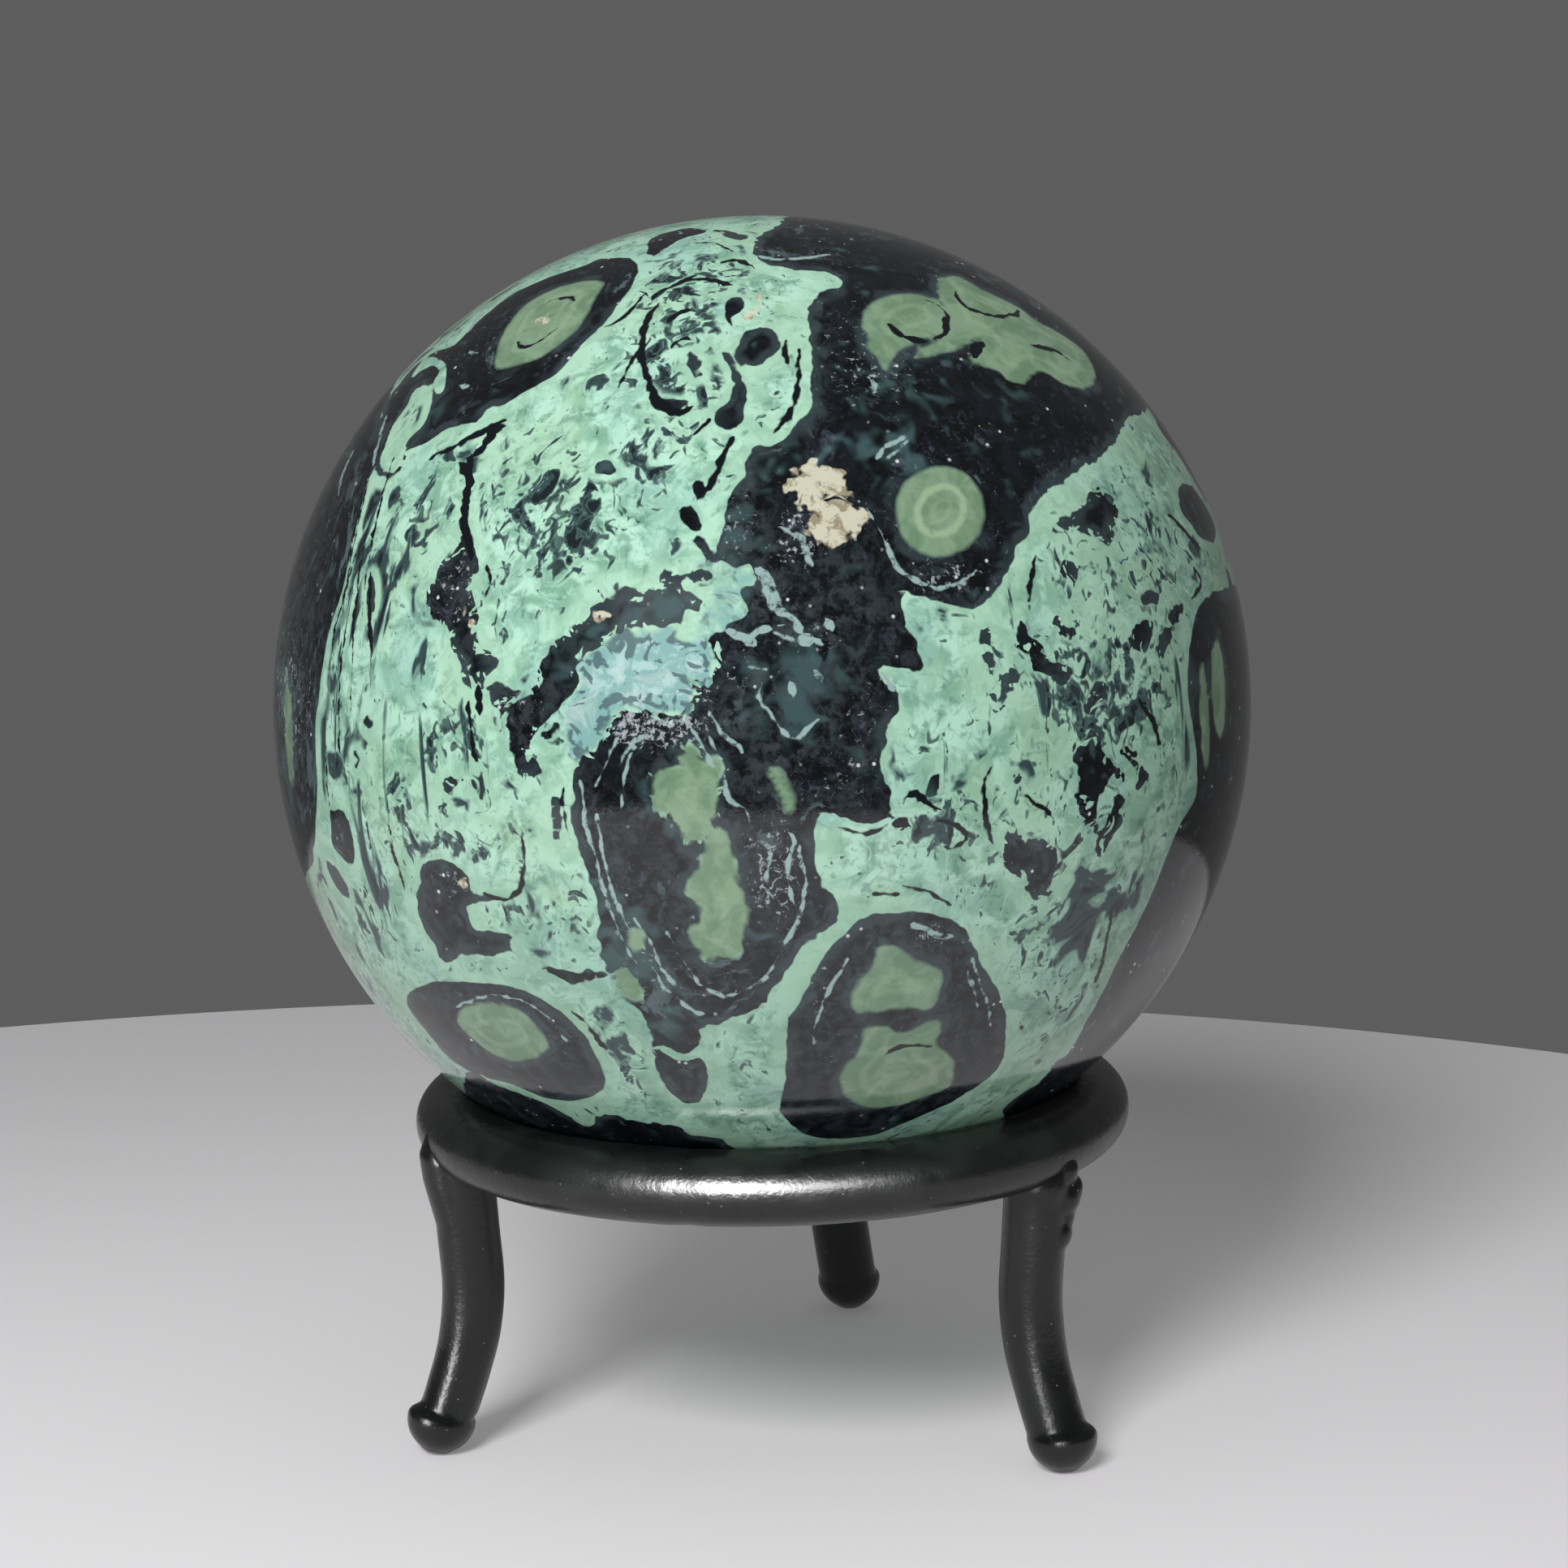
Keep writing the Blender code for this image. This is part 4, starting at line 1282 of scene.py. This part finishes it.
stone_colour = jasper.mix(in_dark, green, dark)


def line_share(finish, side, half, offset, fray):
    """Where a set of thin lines shows: nearer to its middle than its half width, with a frayed edge."""
    away = finish.math("ABSOLUTE", finish.plus(finish.kept(side), offset))
    room = finish.minus(finish.plus(finish.kept(half), fray), away)
    return finish.rise(room, -0.04, 0.09)


line_offset = jasper.times(coarse_off, 0.1)
line_fray = jasper.plus(jasper.times(fine_off, 0.08), jasper.times(coarse_off, 0.06))
for k in range(DARK_SETS):
    share = line_share(jasper, f"dark_side_{k}", f"dark_half_{k}", line_offset, line_fray)
    stone_colour = jasper.mix(share, stone_colour, NIGHT)

# Cream spots, and pale lines over everything
CREAM = colour(204, 202, 180)
CREAM_BROWN = colour(152, 142, 116)
cream_edge = jasper.plus(jasper.kept("cream_depth"), jasper.times(fine_off, 0.34))
cream = jasper.mix(jasper.rise(tooth, 0.48, 0.6), CREAM, CREAM_BROWN)
cream_holes = jasper.rise(squiggles, 0.74, 0.62)
cream_share = jasper.times(jasper.rise(cream_edge, -0.06, 0.2), cream_holes)
stone_colour = jasper.mix(jasper.times(cream_share, 0.93), stone_colour, cream)
PALE_LINE = colour(146, 172, 170)
for k in range(PALE_SETS):
    share = line_share(jasper, f"pale_side_{k}", f"pale_half_{k}", line_offset, line_fray)
    broken = jasper.rise(haze, 0.34, 0.52)
    stone_colour = jasper.mix(jasper.times(share, broken), stone_colour, PALE_LINE)

JASPER_IOR = 1.58
POLISH_ROUGHNESS = 0.07
HAZE_ROUGHNESS = 0.08
PIT_DEPTH = 0.000004
jasper.set(jasper.shader.inputs["Base Color"], stone_colour)
jasper.shader.inputs["IOR"].default_value = JASPER_IOR
hazed = jasper.times(jasper.rise(haze, 0.45, 0.75), HAZE_ROUGHNESS)
polish = jasper.plus(POLISH_ROUGHNESS, hazed)
jasper.set(jasper.shader.inputs["Roughness"], polish)
pits = jasper.clouds(5.0, 3, 0.6)
jasper.set(jasper.shader.inputs["Normal"], jasper.bump(pits, PIT_DEPTH))
ball.data.materials.append(jasper.material)
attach(ball, "root")
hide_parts("stone_sphere")

# The ring
# One length of round steel rod bent into a circle, its ends butted and welded at the front, then dipped in
# black paint. It carries the stone by its upper inner side.
ring_low, ring_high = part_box("ring")
RING_ROD_RADIUS = (ring_high.z - ring_low.z) / 2
RING_RADIUS = ring_high.x - RING_ROD_RADIUS
RING_HEIGHT = (ring_high.z + ring_low.z) / 2
RING_STEPS = 320
RING_SIDES = 48
SEAM_TURN = math.radians(-104.0)
SEAM_WIDTH = 0.0006
SEAM_SINK = 0.00007
DIP_SINK = 0.00003
DIP_LUMP_SIZE = 0.004
DIP_LUMP_SEED = 3.1
CONTACT_FILL = 0.00032
CONTACT_SPREAD = 0.86

bpy.ops.object.select_all(action="DESELECT")
bpy.ops.mesh.primitive_torus_add(
    location=(0, 0, RING_HEIGHT),
    major_segments=RING_STEPS,
    minor_segments=RING_SIDES,
    major_radius=RING_RADIUS,
    minor_radius=RING_ROD_RADIUS,
)
ring = bpy.context.object
ring.name = "bent_ring"
bpy.ops.object.shade_smooth()
bpy.ops.object.transform_apply(location=True, rotation=True, scale=True)


def lumps(point, size, seed):
    """Soft unevenness of hand-bent and dipped rod, from about -1 to 1."""
    return noise.noise(Vector(point) / size + Vector((seed, seed * 0.7, -seed)))


for corner in ring.data.vertices:
    turn = math.atan2(corner.co.y, corner.co.x)
    centre = Vector((math.cos(turn) * RING_RADIUS, math.sin(turn) * RING_RADIUS, RING_HEIGHT))
    outwards = (corner.co - centre).normalized()
    off_seam = math.remainder(turn - SEAM_TURN, math.tau) * RING_RADIUS
    seam = math.exp(-((off_seam / SEAM_WIDTH) ** 2))
    sink = DIP_SINK + DIP_SINK * lumps(corner.co, DIP_LUMP_SIZE, DIP_LUMP_SEED) + SEAM_SINK * seam
    corner.co -= outwards * max(0.0, sink)
    to_stone = (Vector(STONE_MIDDLE) - centre).normalized()
    facing_stone = max(0.0, (outwards.dot(to_stone) - CONTACT_SPREAD) / (1 - CONTACT_SPREAD))
    corner.co += outwards * CONTACT_FILL * facing_stone

paint = Finish("black_dipped_paint")
PAINT_BLACK = colour(9, 11, 11)
PAINT_WORN = colour(16, 18, 18)
PAINT_DUST = colour(120, 124, 124)
PAINT_IOR = 1.5
PAINT_ROUGHNESS = 0.26
WORN_ROUGHNESS = 0.06
PEEL_DEPTH = 0.00003
FINE_PEEL_DEPTH = 0.000018
dust = paint.grains(1.6)
dust_pick = paint.rise(dust.outputs["Color"], 0.68, 0.74)
dust_share = paint.times(paint.rise(dust.outputs["Distance"], 0.13, 0.06), dust_pick)
film = paint.clouds(0.3, 3, 0.5)
paint_colour = paint.mix(paint.rise(film, 0.42, 0.7), PAINT_BLACK, PAINT_WORN)
paint_colour = paint.mix(paint.times(dust_share, 0.6), paint_colour, PAINT_DUST)
paint.set(paint.shader.inputs["Base Color"], paint_colour)
worn = paint.times(paint.rise(film, 0.35, 0.7), WORN_ROUGHNESS)
paint_gloss = paint.plus(PAINT_ROUGHNESS, worn)
paint.set(paint.shader.inputs["Roughness"], paint_gloss)
paint.shader.inputs["IOR"].default_value = PAINT_IOR
peel = paint.clouds(1.3, 2, 0.5)
fine_peel = paint.clouds(4.5, 2, 0.5)
peel_bump = paint.bump(peel, PEEL_DEPTH)
paint.set(paint.shader.inputs["Normal"], paint.bump(fine_peel, FINE_PEEL_DEPTH, below=peel_bump))
ring.data.materials.append(paint.material)
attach(ring, "root")
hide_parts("ring")

# The legs
# Three lengths of round steel rod, each bent to a slight S, welded under the ring with a lumpy bead and
# hammered to a domed foot at its end. They carry the same dipped paint as the ring.
LEG_ROD_RADIUS = 0.00210
# Outward and up, for the middle of the rod
LEG_LINE = [
    (0.0219, 0.0200), (0.0216, 0.0150), (0.0214, 0.0112), (0.0218, 0.0078), (0.0227, 0.0048),
    (0.0236, 0.0024),
]
LEG_TOP_HEIGHT = 0.0212
LEG_SIDES = 40
LEG_STEPS = 12
FOOT_RIM_RADIUS = 0.00233
FOOT_RIM_HEIGHT = 0.00235
FOOT_CROWN_HEIGHT = 0.0009
FOOT_SOLE_RADIUS = 0.00105
FOOT_SOLE_SHARE = 0.985
MELT_VOXEL = 0.00013
SETTLE_STEPS = 20
LEG_PLACES = {
    "leg_back": {"azimuth": 10.0, "lean": -0.0014, "foot_tip": 6.0, "splay": 0.0},
    "leg_right": {"azimuth": 129.0, "lean": 0.0, "foot_tip": 4.0, "splay": -0.0004},
    "leg_left": {"azimuth": -109.0, "lean": 0.0, "foot_tip": 14.0, "splay": 0.0},
}
# Each weld's lumps: outward, sideways and up from the bead's middle, and radius
WELD_LUMPS = {
    "leg_back": [(0.0, 0.0, 0.0, 0.0022), (0.0008, 0.0003, 0.0004, 0.0017)],
    "leg_right": [
        (0.0, 0.0, 0.0, 0.00215),
        (0.0013, 0.0014, -0.0004, 0.0011),
        (0.0009, 0.0010, -0.0009, 0.0015),
        (0.0009, 0.0010, -0.0022, 0.0011),
        (0.0006, 0.0006, -0.0033, 0.0014),
        (0.0015, 0.0008, 0.0010, 0.0010),
    ],
    "leg_left": [],
}
# The left leg's weld is drawn out to a strap that runs from the ring's outer side down into the leg
STRAP_LINE = [
    (0.0221, -0.0003, 0.0213), (0.0227, -0.0004, 0.0196), (0.0225, -0.0003, 0.0178), (0.0217, 0.0, 0.0144),
]
STRAP_RADIUS = 0.00205
WELD_DISTANCE = 0.0219
WELD_HEIGHT = 0.0190
FOOT_OUTWARD = 0.0003


def leg_curve(place):
    """The middle of a leg's rod in its own upright plane, from under the ring down to the foot."""
    points = []
    for distance, height in LEG_LINE:
        down = 1 - height / LEG_TOP_HEIGHT
        points.append(Vector((distance + place["splay"] * down, place["lean"] * down, height)))
    held = [points[0] * 2 - points[1], *points, points[-1] * 2 - points[-2]]
    curve = []
    for before, start, end, after in zip(held, held[1:], held[2:], held[3:]):
        for step in range(LEG_STEPS):
            curve.append(curve_place(before, start, end, after, step / LEG_STEPS))
    curve.append(points[-1])
    return curve


def rod(name, curve, radius):
    """A round rod along a curve, made by pushing a circle along it in edit mode."""
    bpy.ops.object.select_all(action="DESELECT")
    bpy.ops.mesh.primitive_circle_add(vertices=LEG_SIDES, radius=radius, fill_type="NGON")
    made = bpy.context.object
    made.name = name
    along = (curve[1] - curve[0]).normalized()
    made.rotation_euler = Vector((0, 0, 1)).rotation_difference(along).to_euler()
    made.location = curve[0]
    bpy.ops.object.transform_apply(location=True, rotation=True, scale=True)
    bpy.ops.object.mode_set(mode="EDIT")
    bpy.ops.mesh.select_all(action="SELECT")
    for before, here in zip(curve, curve[1:]):
        bpy.ops.mesh.extrude_region_move(TRANSFORM_OT_translate={"value": here - before})
    bpy.ops.mesh.select_all(action="SELECT")
    bpy.ops.mesh.normals_make_consistent(inside=False)
    bpy.ops.object.mode_set(mode="OBJECT")
    return made


def lump(centre, radius):
    """One ball of a weld's bead."""
    bpy.ops.object.select_all(action="DESELECT")
    bpy.ops.mesh.primitive_uv_sphere_add(segments=32, ring_count=20, radius=radius, location=centre)
    made = bpy.context.object
    made.name = "bead"
    bpy.ops.object.transform_apply(location=True, rotation=True, scale=True)
    return made


def foot(centre, tip):
    """A domed foot: a ball with its top drawn in to a rim, and its underside flattened on the floor."""
    bpy.ops.object.select_all(action="DESELECT")
    bpy.ops.mesh.primitive_uv_sphere_add(segments=40, ring_count=24, radius=FOOT_RIM_RADIUS)
    made = bpy.context.object
    for corner in made.data.vertices:
        up = corner.co.z / FOOT_RIM_RADIUS
        if up > 0:
            corner.co.z = up * FOOT_CROWN_HEIGHT
        else:
            corner.co.z = up * FOOT_RIM_HEIGHT
            if math.hypot(corner.co.x, corner.co.y) < FOOT_SOLE_RADIUS:
                corner.co.z = -FOOT_RIM_HEIGHT * FOOT_SOLE_SHARE
    made.rotation_euler.y = -math.radians(tip)
    made.location = (centre.x, centre.y, FOOT_RIM_HEIGHT)
    bpy.ops.object.transform_apply(location=True, rotation=True, scale=True)
    return made


stand_pieces = [ring]
for name, place in LEG_PLACES.items():
    curve = leg_curve(place)
    pieces = [rod("rod", curve, LEG_ROD_RADIUS)]
    for out, across, up, radius in WELD_LUMPS[name]:
        centre = Vector((WELD_DISTANCE + out, across, WELD_HEIGHT + up))
        pieces.append(lump(centre, radius))
    if name == "leg_left":
        pieces.append(rod("strap", [Vector(point) for point in STRAP_LINE], STRAP_RADIUS))
    pieces.append(foot(curve[-1] + Vector((FOOT_OUTWARD, 0, 0)), place["foot_tip"]))
    bpy.ops.object.select_all(action="DESELECT")
    for piece in pieces:
        piece.select_set(True)
    bpy.context.view_layer.objects.active = pieces[0]
    bpy.ops.object.join()
    leg = bpy.context.object
    leg.name = "bent_" + name
    leg.rotation_euler.z = math.radians(90 - place["azimuth"])
    bpy.ops.object.transform_apply(location=True, rotation=True, scale=True)
    melt = leg.modifiers.new("melt", "REMESH")
    melt.mode = "VOXEL"
    melt.voxel_size = MELT_VOXEL
    bpy.ops.object.modifier_apply(modifier=melt.name)
    settle = leg.modifiers.new("settle", "SMOOTH")
    settle.factor = 0.5
    settle.iterations = SETTLE_STEPS
    bpy.ops.object.modifier_apply(modifier=settle.name)
    for corner in leg.data.vertices:
        corner.co.z = max(corner.co.z, 0.0)
    bpy.ops.object.shade_smooth()
    leg.data.materials.clear()
    leg.data.materials.append(paint.material)
    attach(leg, "root")
    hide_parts(name)
    stand_pieces.append(leg)

# The floor
# A plain pale round table top, of the size that its mirror image on the stone shows.
FLOOR_MIDDLE = (-0.030, -0.034)
FLOOR_RADIUS = 0.171
FLOOR_THICKNESS = 0.012
FLOOR_ROUNDING = 0.0015
FLOOR_ROUGHNESS = 0.75
bpy.ops.object.select_all(action="DESELECT")
bpy.ops.mesh.primitive_cylinder_add(
    vertices=256,
    radius=FLOOR_RADIUS,
    depth=FLOOR_THICKNESS,
    location=(*FLOOR_MIDDLE, -FLOOR_THICKNESS / 2),
)
floor = bpy.context.object
floor.name = "floor"
rounding = floor.modifiers.new("rounding", "BEVEL")
rounding.width = FLOOR_ROUNDING
rounding.segments = 4
bpy.ops.object.modifier_apply(modifier=rounding.name)
bpy.ops.object.shade_smooth_by_angle(angle=math.radians(30))
bpy.ops.object.transform_apply(location=True, rotation=True, scale=True)
matt = Finish("matt_pale_floor")
matt.shader.inputs["Base Color"].default_value = colour(208, 206, 208)
matt.shader.inputs["Roughness"].default_value = FLOOR_ROUGHNESS
floor.data.materials.append(matt.material)

# The light
# A soft key light from the upper left in front, a weak wide one overhead, and a small window that is only
# seen mirrored. The ring and two legs have lights of their own for their bright bands, and a weak light
# from behind falls on the stone and its stand. The surroundings are a plain grey.
SURROUNDINGS = (0.11, 0.11, 0.11, 1.0)
world = bpy.data.worlds.new("plain_grey")
bpy.context.scene.world = world
world.use_nodes = True
world.node_tree.nodes["Background"].inputs["Color"].default_value = SURROUNDINGS
world.node_tree.nodes["Background"].inputs["Strength"].default_value = 1.0


def soft_light(name, place, target, width, height, power, glossy):
    """A flat light that is turned towards its target, and is mirrored only where glossy."""
    bpy.ops.object.select_all(action="DESELECT")
    bpy.ops.object.light_add(type="AREA", location=place)
    made = bpy.context.object
    made.name = name
    made.data.shape = "RECTANGLE"
    made.data.size = width
    made.data.size_y = height
    made.data.energy = power
    aim = Vector(target) - Vector(place)
    made.rotation_euler = aim.to_track_quat("-Z", "Y").to_euler()
    made.visible_glossy = glossy
    return made


def only_on(light, name, pieces):
    """A light that falls on these pieces alone."""
    group = bpy.data.collections.new(name)
    for piece in pieces:
        group.objects.link(piece)
    light.light_linking.receiver_collection = group


soft_light("key", (-0.28, -0.82, 0.68), (0, 0, 0.04), 0.34, 0.34, 11.5, False)
soft_light("overhead", (0.0, -0.1, 0.95), (0, 0, 0.03), 0.9, 0.9, 1.6, False)
soft_light("window", (-0.39, -0.83, 0.40), (0, 0, 0.04), 0.36, 0.48, 0.3, True)
for name, place, width, height, power in (
    ("ring_band", (-0.24, -0.95, 0.36), 0.34, 0.52, 40.0),
    ("ring_band_ends", (-0.08, -0.95, 0.34), 1.2, 0.4, 32.0),
):
    stand_light = soft_light(name, place, (0, 0, 0.02), width, height, power, True)
    stand_light.visible_diffuse = False
    only_on(stand_light, name + "_piece", [ring])
back_light = soft_light("back_fill", (0.45, 0.85, 0.55), (0, 0, 0.04), 0.6, 0.6, 5.0, False)
only_on(back_light, "object_pieces", [ball, *stand_pieces])
for name, place, power, piece in (
    ("left_streak", (-0.42, -0.40, 0.12), 5.0, stand_pieces[3]),
    ("right_streak", (-0.12, -0.60, 0.12), 3.0, stand_pieces[2]),
):
    streak_light = soft_light(name, place, (0, 0, 0.012), 0.14, 0.5, power, True)
    streak_light.visible_diffuse = False
    only_on(streak_light, name + "_piece", [piece])

# A pool of light on the table in front of the stone, below the picture, which the stone's lower half mirrors
bpy.ops.object.select_all(action="DESELECT")
bpy.ops.object.light_add(type="SPOT", location=(-0.05, -0.15, 0.6))
pool = bpy.context.object
pool.name = "table_pool"
pool.data.energy = 6.5
pool.data.use_shadow = False
pool.data.spot_size = math.radians(50)
pool.data.spot_blend = 1.0
pool.data.shadow_soft_size = 0.03
pool.rotation_euler = (0, 0, 0)
pool.visible_glossy = False
only_on(pool, "floor_piece", [floor])
